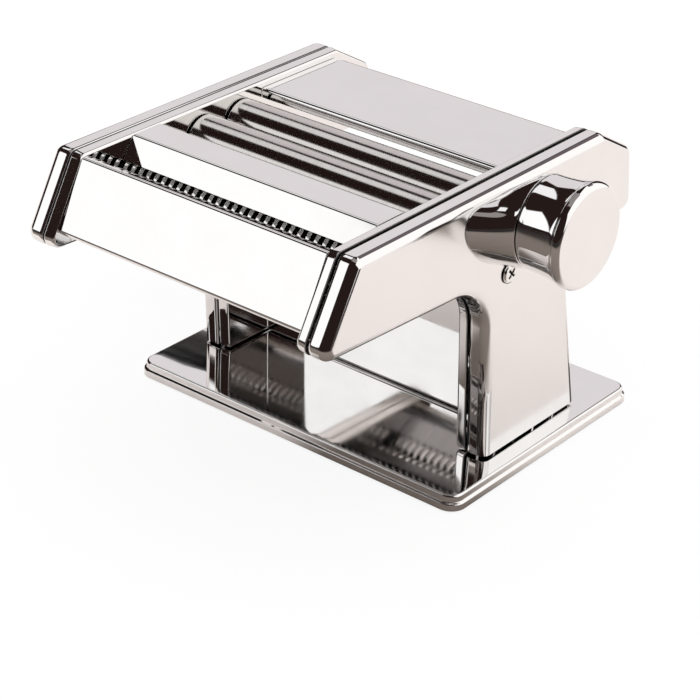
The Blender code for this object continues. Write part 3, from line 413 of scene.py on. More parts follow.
shank = 2.0
head = 3.6
head_height = 2.2
head_z = base_height - base_sheet - fitting_gap
base_screw = turned("base_screw", [
    (0, base_height + 6), (shank, base_height + 5), (shank, head_z), (head, head_z), (head, head_z - 0.9),
    (head - 0.4, head_z - 1.6), (head - 1.1, head_z - 2.05), (head - 1.9, head_z - head_height),
    (0, head_z - head_height)], (0, 0), "Z", 40)
cross_recess(base_screw, 2.0, 1.5, at(0, 0, head_z - head_height), (0, 0, -1))
base_screws = settle(copies("base_screws", [(x, y, 0) for x, y in screw_places], base_screw, nickel))
dress(base_screws, nickel, "frame", "nickel_plated_steel", *["base_screw_" + corner for corner in corner_names])


# The side casings: each side is an inner frame that carries the bearings and a deeper cover over the
# gears, both pressed from steel sheet to the same outline and chromed. They meet in a thin dark seam.

inner_half_width = 77.0
frame_depth = 6.5
cover_depth = 11.8
seam_gap = 1.0
frame_wall = 1.4
cover_wall = 1.2
seam_x = inner_half_width + frame_depth
cover_x = seam_x + cover_depth
cover_foot = base_height + 1.7
head_top = 156.8
head_front_top = -88.9
head_rear_top = 102.0
head_rear_shoulder = (129.6, 141.2)
head_rear_low = 133.4
head_front_low = -114.0
arm_slope = -0.045
head_front_low_z = 112.7
head_rear_low_z = 106.5
leg_front = 14.2
leg_front_lean = 4.0
leg_rear = 94.2
leg_rear_top = 75.0
leg_margin = 9
knob_y, knob_z = 23.7, 142.9
roll_z = 138.5
rear_roll_y = 24.85
front_roll_y = -3.75
roll_travel = 2.3
slide_thickness = 2.8
rail_half_length = 14
rail_heights = ((roll_z - 13.3, roll_z - 10.3), (roll_z + 15.0, head_top - frame_wall / 2))
cutter_z = 136.6
cutter_ys = (-72.5, -55.5)
tie_places = {"front": (-31.5, 138.0), "rear": (112.0, 125.0)}
middle_tie = (26.0, 108.9)
roll_bush_hole = 8.8
roll_slot = 6.6
cutter_bush_hole = 6.8
tie_hole = 2.9
spindle_hole = 5.5
crank_holes = ((front_roll_y, roll_z, 8.6), (cutter_ys[0], cutter_z, 7.1))


def casing_outline(bottom, foot_corner):
    """The side's outline in (y, z): a head that reaches forward over the base, and one leg."""
    arm_drop = arm_slope * (leg_front - leg_front_lean - head_front_low)
    low = base_height - bottom
    rear_slope = (leg_rear - leg_rear_top) / (head_rear_low_z - base_height)
    return rounded([
        (head_front_top, head_top, 5.5), (head_rear_top, head_top, 8), (*head_rear_shoulder, 7),
        (head_rear_low, head_rear_low_z, 7), (leg_rear_top, head_rear_low_z, 20),
        (leg_rear + low * rear_slope, bottom, foot_corner),
        (leg_front + low * leg_front_lean / (head_front_low_z - base_height), bottom, foot_corner),
        (leg_front - leg_front_lean, head_front_low_z + arm_drop, 27),
        (head_front_low, head_front_low_z, 6)])


def drawn_in(points, distance):
    """A closed outline drawn in from itself by a distance."""
    area = sum(a.x * b.y - b.x * a.y for a, b in zip(points, points[1:] + points[:1]))
    turn = 1 if area > 0 else -1
    moved = []
    for index, here in enumerate(points):
        before = (here - points[index - 1]).normalized()
        after = (points[(index + 1) % len(points)] - here).normalized()
        normal = Vector((-before.y - after.y, before.x + after.x)).normalized() * turn
        moved.append(here + normal * distance / max(0.3, normal.dot(Vector((-after.y, after.x)) * turn)))
    return moved


def pressed_case(name, side, face, rim, outline, thickness, edge, segments, draft, rolled):
    """Half a casing: a flat face whose edge is rolled over into a wall, with the sheet's thickness inside.

    The wall is drawn in by its draft where it meets the bend, and its free rim is rolled in (inset, depth).
    """
    inward = 1 if rim > face else -1
    fold = max(edge - thickness, 0)
    bends = [math.radians(90 * k / segments) for k in range(segments + 1)]
    lip = [(rolled[0] * (1 - math.cos(math.radians(t))),
            rim - inward * rolled[1] * (1 - math.sin(math.radians(t)))) for t in (90, 70, 50, 30, 15, 0)]
    outer = [(draft + edge * (1 - math.cos(t)), face + inward * edge * (1 - math.sin(t))) for t in bends]
    inner = [(draft + thickness + fold * (1 - math.cos(t)),
              face + inward * (thickness + fold * (1 - math.sin(t)))) for t in (bends if fold else bends[-1:])]
    rings = [[at(side * x, y, z) for y, z in drawn_in(outline, inset)]
             for inset, x in inner[::-1] + [(thickness, rim)] + lip + outer]
    return loft(name, rings, cap_last=True)


def block(name, low, high):
    """A plain block between two corners, used for cutting and joining."""
    x0, y0, z0 = low
    x1, y1, z1 = high
    rings = [[at(x0, y0, z), at(x1, y0, z), at(x1, y1, z), at(x0, y1, z)] for z in (z0, z1)]
    return loft(name, rings, cap_last=True)


def calculate(tree, operation, first, second=0.0):
    """One step of arithmetic on numbers or outputs."""
    return add_node(tree, "ShaderNodeMath", {0: first, 1: second}, operation=operation).outputs[0]


def sideways(tree, middle):
    """How far the place that is shaded lies from a middle along X, to either side."""
    offset = add_node(tree, "ShaderNodeVectorMath", {0: object_place(tree), 1: middle}, operation="SUBTRACT")
    x = add_node(tree, "ShaderNodeSeparateXYZ", {"Vector": offset.outputs["Vector"]}).outputs["X"]
    return calculate(tree, "ABSOLUTE", x)


def paint_shade(material, unshaded, shade_colour):
    """Paints a plated material dull and dark in this colour where unshaded is 0, as painted shade."""
    shader = material.node_tree.nodes["Principled BSDF"]
    plating = shader.inputs["Base Color"].links[0].from_socket
    feed(shader, Metallic=unshaded, Base_Color=blend_colours(material.node_tree, unshaded, shade_colour, plating))


# The covers' flat faces are wiped to a soft satin; their bends keep the full mirror. The seam between
# frame and cover is painted dark and dull, as painted shade in the gap.
satin_roughness = 0.2
seam_shade_roughness = 0.6
satin_starts, satin_full = cover_x - 0.4, cover_x - 0.1
seam_shade_full, seam_shade_ends = 0.7, 0.95
cover_plate = mirror_plate("chrome_plate_with_satin_faces")
cover_tree = cover_plate.node_tree
cover_shader = cover_tree.nodes["Principled BSDF"]
polish = cover_shader.inputs["Roughness"].links[0].from_socket
from_middle = sideways(cover_tree, origin)
satin = ramp(cover_tree, from_middle, satin_starts * mm, satin_full * mm, 0.0, satin_roughness)
# Painted shade: the seam between frame and cover is painted dark and dull.
from_seam = calculate(cover_tree, "ABSOLUTE", calculate(cover_tree, "SUBTRACT", from_middle, seam_x * mm))
unshaded = ramp(cover_tree, from_seam, seam_shade_full * mm, seam_shade_ends * mm)
seam_shade_dullness = ramp(cover_tree, unshaded, 0.0, 1.0, seam_shade_roughness, 0.0)
feed(cover_shader, Roughness=calculate(
    cover_tree, "MAXIMUM", calculate(cover_tree, "MAXIMUM", polish, satin), seam_shade_dullness))
paint_shade(cover_plate, unshaded, "#2A2624")


def span(side, near, far):
    """The lower and upper end of a stretch along X on one side of the machine."""
    return sorted((side * near, side * far))


frame_face = inner_half_width + frame_wall
slide_face = frame_face + fitting_gap + slide_thickness
for side, side_name in ((-1, "crank_side"), (1, "knob_side")):
    inner = pressed_case("inner_case_" + side_name, side, inner_half_width, seam_x - seam_gap / 2,
                         casing_outline(base_height + 0.3, 3.6), frame_wall, edge=1.5, segments=6, draft=0.5,
                         rolled=(0.5, 0.8))
    through = span(side, inner_half_width - 2, frame_face + 2)
    rail_low, rail_high = span(side, frame_face - 0.4, slide_face)
    for bottom, top in rail_heights:
        cut(inner, block("rail", (rail_low, knob_y - rail_half_length, bottom),
                         (rail_high, knob_y + rail_half_length, top)), "UNION")
    hole(inner, roll_bush_hole, (front_roll_y, roll_z), *through, 64)
    for share in (0.0, 0.5, 1.0):
        hole(inner, roll_slot, (rear_roll_y - roll_travel * share, roll_z), *through)
    for y in cutter_ys:
        hole(inner, cutter_bush_hole, (y, cutter_z), *through)
    for place in tie_places.values():
        hole(inner, tie_hole, place, *through, 24)
    hole(inner, screw_hole, middle_tie, *through, 24)
    for x, y in screw_places:
        if x * side > 0:
            hole(inner, screw_hole, (x, y), 6, 12, 24, "Z")
    dress(settle(inner), cover_plate, "frame", "chromed_steel", "side_frame_" + side_name)

    outer = pressed_case("cover_case_" + side_name, side, cover_x, seam_x + seam_gap / 2,
                         casing_outline(base_height - 16, 6), cover_wall, edge=5.0, segments=12, draft=0.0,
                         rolled=(1.0, 2.4))
    cut(outer, block("open_foot", (-cover_x - 5, leg_front - leg_margin, -20),
                     (cover_x + 5, leg_rear + leg_margin, cover_foot)))
    through = span(side, cover_x - cover_wall - 2, cover_x + 2)
    hole(outer, screw_hole, middle_tie, *through, 24)
    if side > 0:
        hole(outer, spindle_hole, (knob_y, knob_z), *through)
    else:
        for y, z, radius in crank_holes:
            hole(outer, radius, (y, z), *through)
    dress(settle(outer), cover_plate, "frame", "chromed_steel", "side_cover_" + side_name)


# The cover screws: one chromed pan-head screw a side, through the cover into the middle tie. The cross
# in its head and a ring round its foot are painted dark and dull, as painted shade.

seat = cover_x + 0.3
screw_length = 30
screw_top = 1.5
cross_reach = 3.2


def towards(tree, place, direction, kind="DOT_PRODUCT"):
    """How far a place lies along a direction, or from a point when the kind is DISTANCE."""
    return add_node(tree, "ShaderNodeVectorMath", {0: place, 1: direction}, operation=kind).outputs["Value"]


def from_line(tree, point):
    """The distance of the place that is shaded from a line along X through a point."""
    across = Vector((0, 1, 1))
    flat = add_node(tree, "ShaderNodeVectorMath", {0: object_place(tree), 1: across}, operation="MULTIPLY")
    return towards(tree, flat.outputs["Vector"], point * across, "DISTANCE")


screw_plate = mirror_plate("chrome_plate_with_a_dirty_cross")
screw_tree = screw_plate.node_tree
tie_middle = at(0, *middle_tie)
outward = sideways(screw_tree, tie_middle)
past_cross = calculate(screw_tree, "GREATER_THAN", from_line(screw_tree, tie_middle), (cross_reach + 0.3) * mm)
over_foot = calculate(screw_tree, "GREATER_THAN", outward, (seat + 0.38) * mm)
on_top = calculate(screw_tree, "GREATER_THAN", outward, (seat + screw_top - 0.2) * mm)
# Painted shade: the cross in the head and a ring at the head's foot are painted dark and dull.
paint_shade(screw_plate, calculate(screw_tree, "MINIMUM", calculate(screw_tree, "MAXIMUM", past_cross, on_top),
                            over_foot), "#1E1A18")

for side, side_name in ((-1, "crank_side"), (1, "knob_side")):
    shape = [(0, screw_top), (3.8, 1.45), (4.3, 1.3), (4.7, 1.0), (4.9, 0.7), (5.0, 0.4), (5.6, 0.35),
             (5.6, 0.0), (2.0, 0.0), (2.0, 1 - screw_length), (1.2, -screw_length), (0, -screw_length)]
    screw = turned("pan_screw_" + side_name, [(r, side * (seat + d)) for r, d in shape], middle_tie, steps=48)
    cross_recess(screw, cross_reach, 2.2, at(side * (seat + screw_top), *middle_tie), (side, 0, 0))
    dress(settle(screw), screw_plate, "frame", "chromed_steel", "cover_screw_" + side_name)


# The ties: turned steel rods that hold the two frames apart, the front and rear ones shouldered and
# nutted inside the covers, the middle one tapped for the cover screws.

tie_end = inner_half_width - fitting_gap
tie_chamfer = 0.3


def mirrored(half):
    """The crank side's half of a profile, from the knob side's."""
    return [(r, -x) for r, x in reversed(half)]


for end, place in tie_places.items():
    half = [(0, tie_end + 7), (2.1, tie_end + 7), (2.5, tie_end + 6.6), (2.5, tie_end), (3.7, tie_end),
            (4.0, tie_end - tie_chamfer)]
    tie = turned(end + "_tie", half + mirrored(half), place, steps=40)
    dress(settle(tie), nickel, "frame", "nickel_plated_steel", "tie_rod_" + end)
half = [(0, tie_end - 13), (2.4, tie_end - 12.3), (2.4, tie_end - tie_chamfer), (2.7, tie_end),
        (4.7, tie_end), (5.0, tie_end - tie_chamfer)]
tie = turned("middle_tie", half + mirrored(half), middle_tie, steps=40)
dress(settle(tie), nickel, "frame", "nickel_plated_steel", "tie_rod_middle")


def refined(name, node, edge):
    """A copy of a plain node, its triangles merged into whole faces and its arrises broken by an edge."""
    work = bmesh.new()
    work.from_mesh(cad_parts[node].data)
    bmesh.ops.remove_doubles(work, verts=work.verts, dist=0.002 * mm)
    bmesh.ops.dissolve_limit(work, angle_limit=math.radians(1), verts=work.verts, edges=work.edges)
    mesh = bpy.data.meshes.new(name)
    work.to_mesh(mesh)
    work.free()
    mesh.set_sharp_from_angle(angle=sharp_angle)
    return settle(new_object(name, mesh), edge)


for end in tie_places:
    for side_name in ("crank_side", "knob_side"):
        nut = refined(f"{end}_nut_{side_name}", f"tie_nut_{end}_{side_name}", 0.35)
        dress(nut, nickel, "frame", "nickel_plated_steel", f"tie_nut_{end}_{side_name}")


# The sheets between the frames: the hood over the cutters, the strip and apron that part the cutters
# from the rolls, the guard that the dough lies on, and the panel behind the legs. Each is one chromed
# sheet bent along X, with its cut edges broken.

sheet = 1.0
sheet_end = inner_half_width - fitting_gap
guard_z = head_top - 4.6
strip_z = 155.8
panel_y = 46.5
for name, node, corners in (
        ("hood_sheet", "front_hood", [
            (-84.1, 153.4, 0), (-87.9, 154.8, 1.2), (-105.4, 120.6, 1.6), (-98.0, 119.8, 0)]),
        ("strip_sheet", "top_strip", [
            (-61.2, 144.9, 0), (-53.2, strip_z, 1.2), (-34.0, strip_z, 1.6), (-34.0, 145.8, 0)]),
        ("guard_sheet", "rear_guard", [
            (41.5, guard_z - 5, 0), (41.5, guard_z, 1.6), (100.16, guard_z, 10), (125.0, 137.98, 6),
            (128.8, 111.1, 2), (119.8, 111.1, 0)]),
        ("back_sheet", "back_panel", [
            (57.5, 8.8, 0), (panel_y, 8.8, 1.6), (panel_y, 100.0, 1.6), (57.5, 100.0, 0)])):
    path = rounded(corners, closed=False, step=9)
    thing = loft(name, [[at(x, y, z) for y, z in path] for x in (-sheet_end, sheet_end)], closed=False)
    wall(thing, sheet, 0)
    dress(settle(thing, 0.2), chrome_plate, "frame", "chromed_steel", node)


# The smooth rolls: solid steel bars, ground and plated, with a soft sheen drawn round them by the
# grinding. They turn in white acetal bushes, and the rear one rides in two sliding acetal blocks.

def ground_steel(name, bright, dark, grit, rough):
    """Ground steel: fine rings round the X axis. The grit is drawn a few times coarser than real, to show."""
    return clouded(name, grit, bright, dark, 3.0, rings=True, polish=(rough * 0.8, rough * 1.3),
                   relief=(0.35, 0.01), Metallic=1.0, Anisotropic=0.4)


roll_steel = ground_steel("ground_plated_steel", "#D8D5D2", "#C8C4C1", 1.4, 0.13)
bearing_end = slide_face + fitting_gap
front_stub = 2.0
gear_width = 7.5
crank_ends = {"front": bearing_end + front_stub, "rear": bearing_end + fitting_gap + gear_width}
roll_radius = 13.0
roll_journal = 6.0
roll_end = inner_half_width - 1.0


def journal(radius, end):
    """Half a shaft's profile, from its chamfered end in to the roll."""
    return [(0, end), (radius - 0.3, end), (radius, end - 0.3), (radius, roll_end)]


for end, y in (("front", front_roll_y), ("rear", rear_roll_y)):
    shoulder = [(roll_radius - 0.6, roll_end), (roll_radius - 0.15, roll_end - 0.15),
                (roll_radius, roll_end - 0.6)]
    roller = turned(end + "_smooth_roll", journal(roll_journal, bearing_end) + shoulder
                    + mirrored(journal(roll_journal, crank_ends[end]) + shoulder), (y, roll_z), steps=96)
    dress(settle(roller), roll_steel, end + "_roll", "nickel_plated_steel", end + "_roll")

acetal = clouded("turned_acetal", 4, "#EDEBE2", "#E2DFD3", Roughness=0.42, IOR=1.48)
broken_edge = 0.15
for side_name in ("crank_side", "knob_side"):
    for bearing in ("front_roll", "front_cutter", "rear_cutter"):
        node = f"{bearing}_bush_{side_name}"
        bush = refined(f"{bearing}_bearing_{side_name}", node, broken_edge)
        dress(bush, acetal, "frame", "bearing_acetal", node)
    node = "roll_slide_" + side_name
    slide = refined("sliding_block_" + side_name, node, broken_edge)
    dress(slide, acetal, "rear_carriage", "bearing_acetal", node)

blade_steel = ground_steel("rolled_spring_steel", "#B4B3B4", "#9E9EA1", 0.8, 0.28)
for end, body in (("front", "frame"), ("rear", "rear_carriage")):
    blade = refined(end + "_blade", end + "_scraper", broken_edge)
    dress(blade, blade_steel, body, "nickel_plated_steel", end + "_scraper")


# The gears: cut from plain steel bar, slightly oily and darker than the plated parts. One is fixed on
# each roll and on each cutter, inside the crank side's cover.

gear_steel = ground_steel("cut_gear_steel", "#8A8784", "#6A6866", 0.9, 0.36)
for shaft in ("front_roll", "rear_roll", "front_cutter", "rear_cutter"):
    dress(refined(shaft + "_pinion", shaft + "_gear", 0.2), gear_steel, shaft, "gear_steel", shaft + "_gear")


# The ribbon cutters: two steel rollers turned into rows of square ribs that run in each other's grooves.
# One rib with half a groove either side is made and repeated along the shaft, then closed by its two ends.

cutter_radius = 9.2
cutter_core = 7.0
cutter_journal = 4.0
cutter_pitch = 5.1
rib_width = cutter_pitch / 2 - 0.3
rib_edge = 0.15
rib_counts = {"front": 29, "rear": 30}


def row_tree():
    """Nodes that set a piece in a row along X and weld each to the next."""
    tree, given = new_tree("welded_row", Rib="Object", Ends="Object", Ribs="Int", Pitch="Float",
                           Finish="Material")
    length = calculate(tree, "MULTIPLY", calculate(tree, "ADD", given["Ribs"], -1.0), given["Pitch"])
    start = add_node(tree, "ShaderNodeCombineXYZ", {"X": calculate(tree, "MULTIPLY", length, -0.5)})
    step = add_node(tree, "ShaderNodeCombineXYZ", {"X": given["Pitch"]})
    line = add_node(tree, "GeometryNodeMeshLine", {
        "Count": given["Ribs"], "Start Location": start.outputs[0], "Offset": step.outputs[0]}, mode="OFFSET")
    ends = add_node(tree, "GeometryNodeObjectInfo", {"Object": given["Ends"]})
    whole = add_node(tree, "GeometryNodeJoinGeometry")
    for part in (at_points(tree, given["Rib"], line.outputs["Mesh"]), ends.outputs["Geometry"]):
        tree.links.new(part, whole.inputs["Geometry"])
    welded = add_node(tree, "GeometryNodeMergeByDistance", {
        "Geometry": whole.outputs["Geometry"], "Distance": 0.002 * mm})
    finish_tree(tree, welded.outputs["Geometry"], given["Finish"])
    return tree


def satin_ribs(name, middle):
    """Satin nickel on the ribs' crowns; below them the grooves and core are painted near-black, as painted
    shade.
    """
    material, tree, shader = new_material(name, Metallic=0.75, Roughness=0.12)
    crown = ramp(tree, from_line(tree, middle), (cutter_radius - 0.5) * mm, (cutter_radius - 0.1) * mm)
    bright = blend_colours(tree, noise(tree, 2), "#FDFCFB", "#F0EEEC")
    # Painted shade: near-black below the crowns, in the grooves between the ribs.
    feed(shader, Base_Color=blend_colours(tree, crown, "#1C1A19", bright))
    return material


welded_row = row_tree()
half_rib = [(cutter_core, cutter_pitch / 2), (cutter_core, rib_width / 2),
            (cutter_radius - rib_edge, rib_width / 2), (cutter_radius, rib_width / 2 - rib_edge)]
for (end, ribs), y in zip(rib_counts.items(), cutter_ys):
    axis = (y, cutter_z)
    cutter_steel = satin_ribs(end + "_satin_nickel_plate", at(0, *axis))
    rib = turned("rib", half_rib + mirrored(half_rib), axis, steps=60)
    collar = [(cutter_core, roll_end), (cutter_core, ribs * cutter_pitch / 2)]
    ends = turned("ends", journal(cutter_journal, bearing_end) + collar, axis, steps=60)
    other = turned("ends", mirrored(journal(cutter_journal, crank_ends[end]) + collar), axis, steps=60)
    both = bmesh.new()
    both.from_mesh(ends.data)
    both.from_mesh(other.data)
    both.to_mesh(ends.data)
    both.free()
    bpy.data.objects.remove(other)
    cutter = new_object(end + "_ribbed_roll", bpy.data.meshes.new(end + "_ribbed_roll"))
    run_tree(cutter, welded_row, Rib=rib, Ends=ends, Ribs=ribs, Pitch=cutter_pitch * mm, Finish=cutter_steel)
    dress(settle(cutter), cutter_steel, end + "_cutter", "nickel_plated_steel", end + "_cutter")
    comb = refined(end + "_tines", end + "_comb", 0.12)
    dress(comb, blade_steel, "frame", "nickel_plated_steel", end + "_comb")


# The knob's boss: a chromed casting fixed to the cover, which narrows from a flattened oval foot with
# a flat top to the round of the dial. The dial's spindle runs through it.

boss_low = cover_x + 0.02
boss_height = 19.48
boss_high = boss_low + boss_height
boss_half_width = 35.2
boss_half_height = 27.2
boss_flat = 10.2
boss_power = 1.65
flat_power = 9
boss_steps = 144
boss_rows = 24
dial_back_radius = 23.6
pin_radius = 1.8
pin_reach = 15


def boss_radius(angle):
    """The foot's outline: a rounded diamond, cut flat along its top."""
    radius = ((abs(math.cos(angle)) / boss_half_width) ** boss_power
              + (abs(math.sin(angle)) / boss_half_height) ** boss_power) ** (-1 / boss_power)
    if math.sin(angle) > 0.05:
        radius = (radius ** -flat_power + (boss_flat / math.sin(angle)) ** -flat_power) ** (-1 / flat_power)
    return radius


def boss_ring(share, inset):
    """The boss's section at a share of its height, on its way from the foot's outline into the round."""
    blend = share * (1.2 - 0.2 * share)
    ring = []
    for k in range(boss_steps):
        angle = 2 * math.pi * k / boss_steps
        radius = boss_radius(angle) * (1 - blend) + dial_back_radius * blend - inset
        ring.append(at(boss_low + boss_height * share, knob_y + radius * math.cos(angle),
                       knob_z + radius * math.sin(angle)))
    return ring


boss = loft("knob_mount", [boss_ring(k / boss_rows * 0.97, 0.0) for k in range(boss_rows + 1)]
            + [boss_ring(0.985, 0.12), boss_ring(1.0, 0.5)], cap_last=True)
hole(boss, spindle_hole - 0.1, (knob_y, knob_z), boss_low - 1, boss_high + 1)
hole(boss, pin_radius, (knob_y, knob_z - pin_reach), boss_high - 8, boss_high + 1, 24)
dress(settle(boss), chrome_plate, "frame", "chromed_steel", "knob_boss")
dress(refined("detent_pin", "index_pin", broken_edge), nickel, "frame", "nickel_plated_steel", "index_pin")


# The dial and its cap: a turned and chromed ring that sets the gap between the rolls, closed by a
# chromed cap with a rounded rim. Pulled out against its spring, it turns through seven stops.

dial_low = boss_high + fitting_gap
dial_length = 21.4
dial_high = dial_low + dial_length
dial_front_radius = 25.9
dial_bore = 21.0
dial_floor = 3.5
flare_steps = 12
square_half = 3.8
stops = 7
first_stop = -90
stop_step = 30
flare = [(dial_front_radius - (dial_front_radius - dial_back_radius) * (1 - (1 - k / flare_steps) ** 2),
          dial_high - 0.7 - (dial_length - 1.6) * k / flare_steps) for k in range(flare_steps + 1)]
dial = turned("dial_ring", [
    (0, dial_low + dial_floor), (dial_bore, dial_low + dial_floor), (23.3, dial_high),
    (dial_front_radius - 0.5, dial_high), (dial_front_radius - 0.1, dial_high - 0.2), *flare,
    (dial_back_radius - 0.3, dial_low + 0.3), (dial_back_radius - 0.9, dial_low), (0, dial_low)],
    (knob_y, knob_z), steps=128)
cut(dial, block("square", (dial_low - 1, knob_y - square_half, knob_z - square_half),
                (dial_low + dial_floor + 1, knob_y + square_half, knob_z + square_half)))
for stop in range(stops):
    angle = math.radians(first_stop - stop_step * stop)
    pin_place = (knob_y + pin_reach * math.cos(angle), knob_z + pin_reach * math.sin(angle))
    hole(dial, pin_radius, pin_place, dial_low - 1, dial_low + 2, 24)
dress(settle(dial), chrome_plate, "knob", "chromed_steel", "thickness_dial")

cap_low = dial_high + fitting_gap
cap_radius = 26.4
cap_edge = 3.6
cap_high = cap_low + 4.5
spigot_radius = 22.8
spigot_bore = 20.8
spigot_low = cap_low - 2.6
cap_rim = [(cap_radius - cap_edge * (1 - math.cos(math.radians(t))),
            cap_high - cap_edge * (1 - math.sin(math.radians(t)))) for t in range(90, -1, -9)]
cap = turned("dial_cap", [
    (0, cap_high), *cap_rim, (cap_radius, cap_low + 0.4), (cap_radius - 0.4, cap_low),
    (spigot_radius, cap_low), (spigot_radius - 0.3, spigot_low), (spigot_bore, spigot_low),
    (spigot_bore, cap_low), (0, cap_low)], (knob_y, knob_z), steps=128)
dress(settle(cap), chrome_plate, "knob", "chromed_steel", "knob_cap")
for piece, node in (("dial_spindle", "knob_spindle"), ("spring_stop", "knob_retainer")):
    dress(refined(piece, node, 0.2), nickel, "regulator", "nickel_plated_steel", node)

spring_low = dial_low + dial_floor + fitting_gap
spring_high = cap_low - 3.9
spring_wire = 0.6
spring_radius = 6.7
spring_turns = 5
turn_steps = 32
coil = bpy.data.curves.new("return_spring", "CURVE")
coil.dimensions = "3D"
coil.bevel_depth = spring_wire * mm
coil.bevel_resolution = 3
coil.use_fill_caps = True
spline = coil.splines.new("POLY")
spline.points.add(spring_turns * turn_steps)
for k, point in enumerate(spline.points):
    angle = 2 * math.pi * k / turn_steps
    rise = (spring_high - spring_low - 2 * spring_wire) * k / (spring_turns * turn_steps)
    point.co = (*at(spring_low + spring_wire + rise, knob_y + spring_radius * math.cos(angle),
                    knob_z + spring_radius * math.sin(angle)), 1)
wound = new_object("wound", coil)
spring = new_object("return_spring", evaluated_mesh(wound))
bpy.data.objects.remove(wound)
dress(settle(spring), blade_steel, "regulator", "nickel_plated_steel", "knob_spring")
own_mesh(spring)


# The crank: a chromed rod bent twice and squared at its end, with a black moulded grip that turns on it
# and is kept on by a domed nut.

for piece, node in (("crank_rod", "crank_arm"), ("grip_nut", "crank_grip_nut")):
    dress(refined(piece, node, 0.0), chrome_plate, "crank", "chromed_steel", node)
grip_plastic = clouded("moulded_black_plastic", 3, "#161617", "#202021", Roughness=0.3, IOR=1.5)
dress(refined("turning_grip", "crank_grip", 0.0), grip_plastic, "grip", "grip_plastic", "crank_grip")


# The studio: white paper on a table and six soft boxes in a dark room. The machine is a mirror, so the
# room is what gives it its look; the camera itself sees white all round, as in a cut-out product picture.

floor_size = 6.0
bpy.ops.mesh.primitive_plane_add(size=floor_size, location=(0, 0, 0))
floor = bpy.context.object
floor.name = "floor"
white_paper, paper_tree, paper_shader = new_material("white_paper", Roughness=0.9)
floor.data.materials.append(white_paper)


def smooth_share(tree, value, low, high):
    """Rises smoothly from 0 to 1 while the value goes from low to high."""
    return ramp(tree, value, low, high, interpolation_type="SMOOTHSTEP")


# The paper ends along the front of the machine and is folded away at the knob side's front, where the
# bare table shows. Only mirrors see that part, and the table is painted darker with its distance, as
# painted shade away from the light. These sizes are in metres from the middle of the floor.
fold_x = (0.02, 0.06)
fold_y = (0.05, -0.03)
end_facing = (0.34, -0.94, 0)
end_reach = (0.17, 0.21)
table_darkens = (0.58, 0.95)
paper_glow_share = 0.85
paper_place = object_place(paper_tree)
past_middle = smooth_share(paper_tree, towards(paper_tree, paper_place, (1, 0, 0)), *fold_x)
before_middle = smooth_share(paper_tree, towards(paper_tree, paper_place, (0, 1, 0)), *fold_y)
folded = calculate(paper_tree, "MULTIPLY", past_middle, before_middle)
ended = smooth_share(paper_tree, towards(paper_tree, paper_place, end_facing), *end_reach)
distance = towards(paper_tree, paper_place, (0, 0, 0), "DISTANCE")
# Painted shade: the table is painted darker with its distance from the middle of the floor.
far_off = smooth_share(paper_tree, distance, *table_darkens)
table = blend_colours(paper_tree, far_off, "#82776F", "#221917")
reflected = blend_colours(paper_tree, calculate(paper_tree, "MAXIMUM", folded, ended), "#F3EBE7", table)
to_camera = add_node(paper_tree, "ShaderNodeLightPath").outputs["Is Camera Ray"]
feed(paper_shader, Base_Color=blend_colours(paper_tree, to_camera, reflected, "#FFFFFF"))
paper_glow = add_node(paper_tree, "ShaderNodeEmission", {"Color": linear("#FFFFFF"), "Strength": 1.0})
paper_seen = add_node(paper_tree, "ShaderNodeMixShader", {
    0: calculate(paper_tree, "MULTIPLY", to_camera, paper_glow_share), 1: paper_shader.outputs["BSDF"],
    2: paper_glow.outputs["Emission"]})
paper_tree.links.new(paper_seen.outputs["Shader"], paper_tree.nodes["Material Output"].inputs["Surface"])

world = bpy.data.worlds.new("dark_room_with_soft_boxes")
bpy.context.scene.world = world
world.use_nodes = True
world.cycles.sampling_method = "NONE"
room = world.node_tree
looking = add_node(room, "ShaderNodeTexCoord").outputs["Generated"]


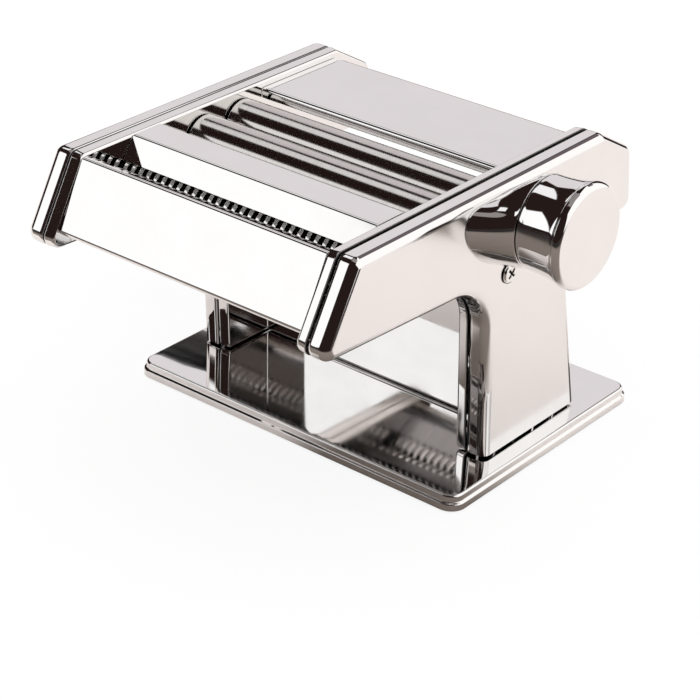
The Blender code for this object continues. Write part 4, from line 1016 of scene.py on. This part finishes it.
def soft_box(below, bearing, height, half_width, half_height, colour):
    """Adds a soft box to the room. Its bearing is from the front (0) to the knob side (90), in degrees."""
    turn, rise = math.radians(bearing), math.radians(height)
    facing = Vector((math.sin(turn) * math.cos(rise), -math.cos(turn) * math.cos(rise), math.sin(rise)))
    across = Vector((math.cos(turn), math.sin(turn), 0))
    dots = [towards(room, looking, axis) for axis in (facing, across, facing.cross(across))]
    ahead = calculate(room, "MAXIMUM", dots[0], 0.001)
    reach = [calculate(room, "DIVIDE", calculate(room, "ABSOLUTE", calculate(room, "DIVIDE", dot, ahead)),
                       math.tan(math.radians(half))) for dot, half in zip(dots[1:], (half_width, half_height))]
    edge = calculate(room, "MAXIMUM", *reach)
    return blend_colours(room, smooth_share(room, edge, 1.0, 0.86), below, colour)


# Each box: bearing, height, half width and half height in degrees, and colour. The first lights the hood.
lit = "#241A18"
for box in ((-44, 19.5, 10.6, 15.5, "#FFFFFF"), (-141, 22, 12, 19, "#D9D4D6"),
            (-106, 52, 11, 7.5, "#F0EFF0"), (130, 34, 52, 40, "#FFFDFB"), (0, 90, 24, 18, "#8C8684"),
            (-174, 40.5, 13, 7, "#655C5F")):
    lit = soft_box(lit, *box)
room_strength = 1.15
ray = add_node(room, "ShaderNodeLightPath").outputs
in_mirrors = calculate(room, "MULTIPLY", ray["Is Glossy Ray"],
                       calculate(room, "LESS_THAN", ray["Diffuse Depth"], 0.5))
background = room.nodes["Background"]
feed(background, Color=blend_colours(room, in_mirrors, "#FFFFFF", lit))
background.inputs["Strength"].default_value = room_strength

# The camera stands in front of the machine and to its knob side, and looks down on it. Its place and
# lens were fitted to the straight edges in the photograph.

azimuth = math.radians(39.03)
elevation = math.radians(28.51)
roll = math.radians(1.36)
focal_pixels = 2245
frame_pixels = 700
camera_distance = 1130
look_at = at(20.1, -1.1, 50.2)
back = Vector((math.sin(azimuth) * math.cos(elevation), -math.cos(azimuth) * math.cos(elevation),
               math.sin(elevation)))
right = Vector((math.cos(azimuth), math.sin(azimuth), 0))
up = back.cross(right)
leaned_right = right * math.cos(roll) + up * math.sin(roll)
leaned_up = up * math.cos(roll) - right * math.sin(roll)
camera = new_object("camera", bpy.data.cameras.new("camera"))
stand = Matrix((leaned_right, leaned_up, back)).transposed().to_4x4()
stand.translation = look_at + back * camera_distance * mm
camera.matrix_world = stand
camera.data.sensor_width = 36
camera.data.lens = focal_pixels / frame_pixels * camera.data.sensor_width
bpy.context.scene.camera = camera
bpy.context.scene.view_settings.view_transform = "Standard"
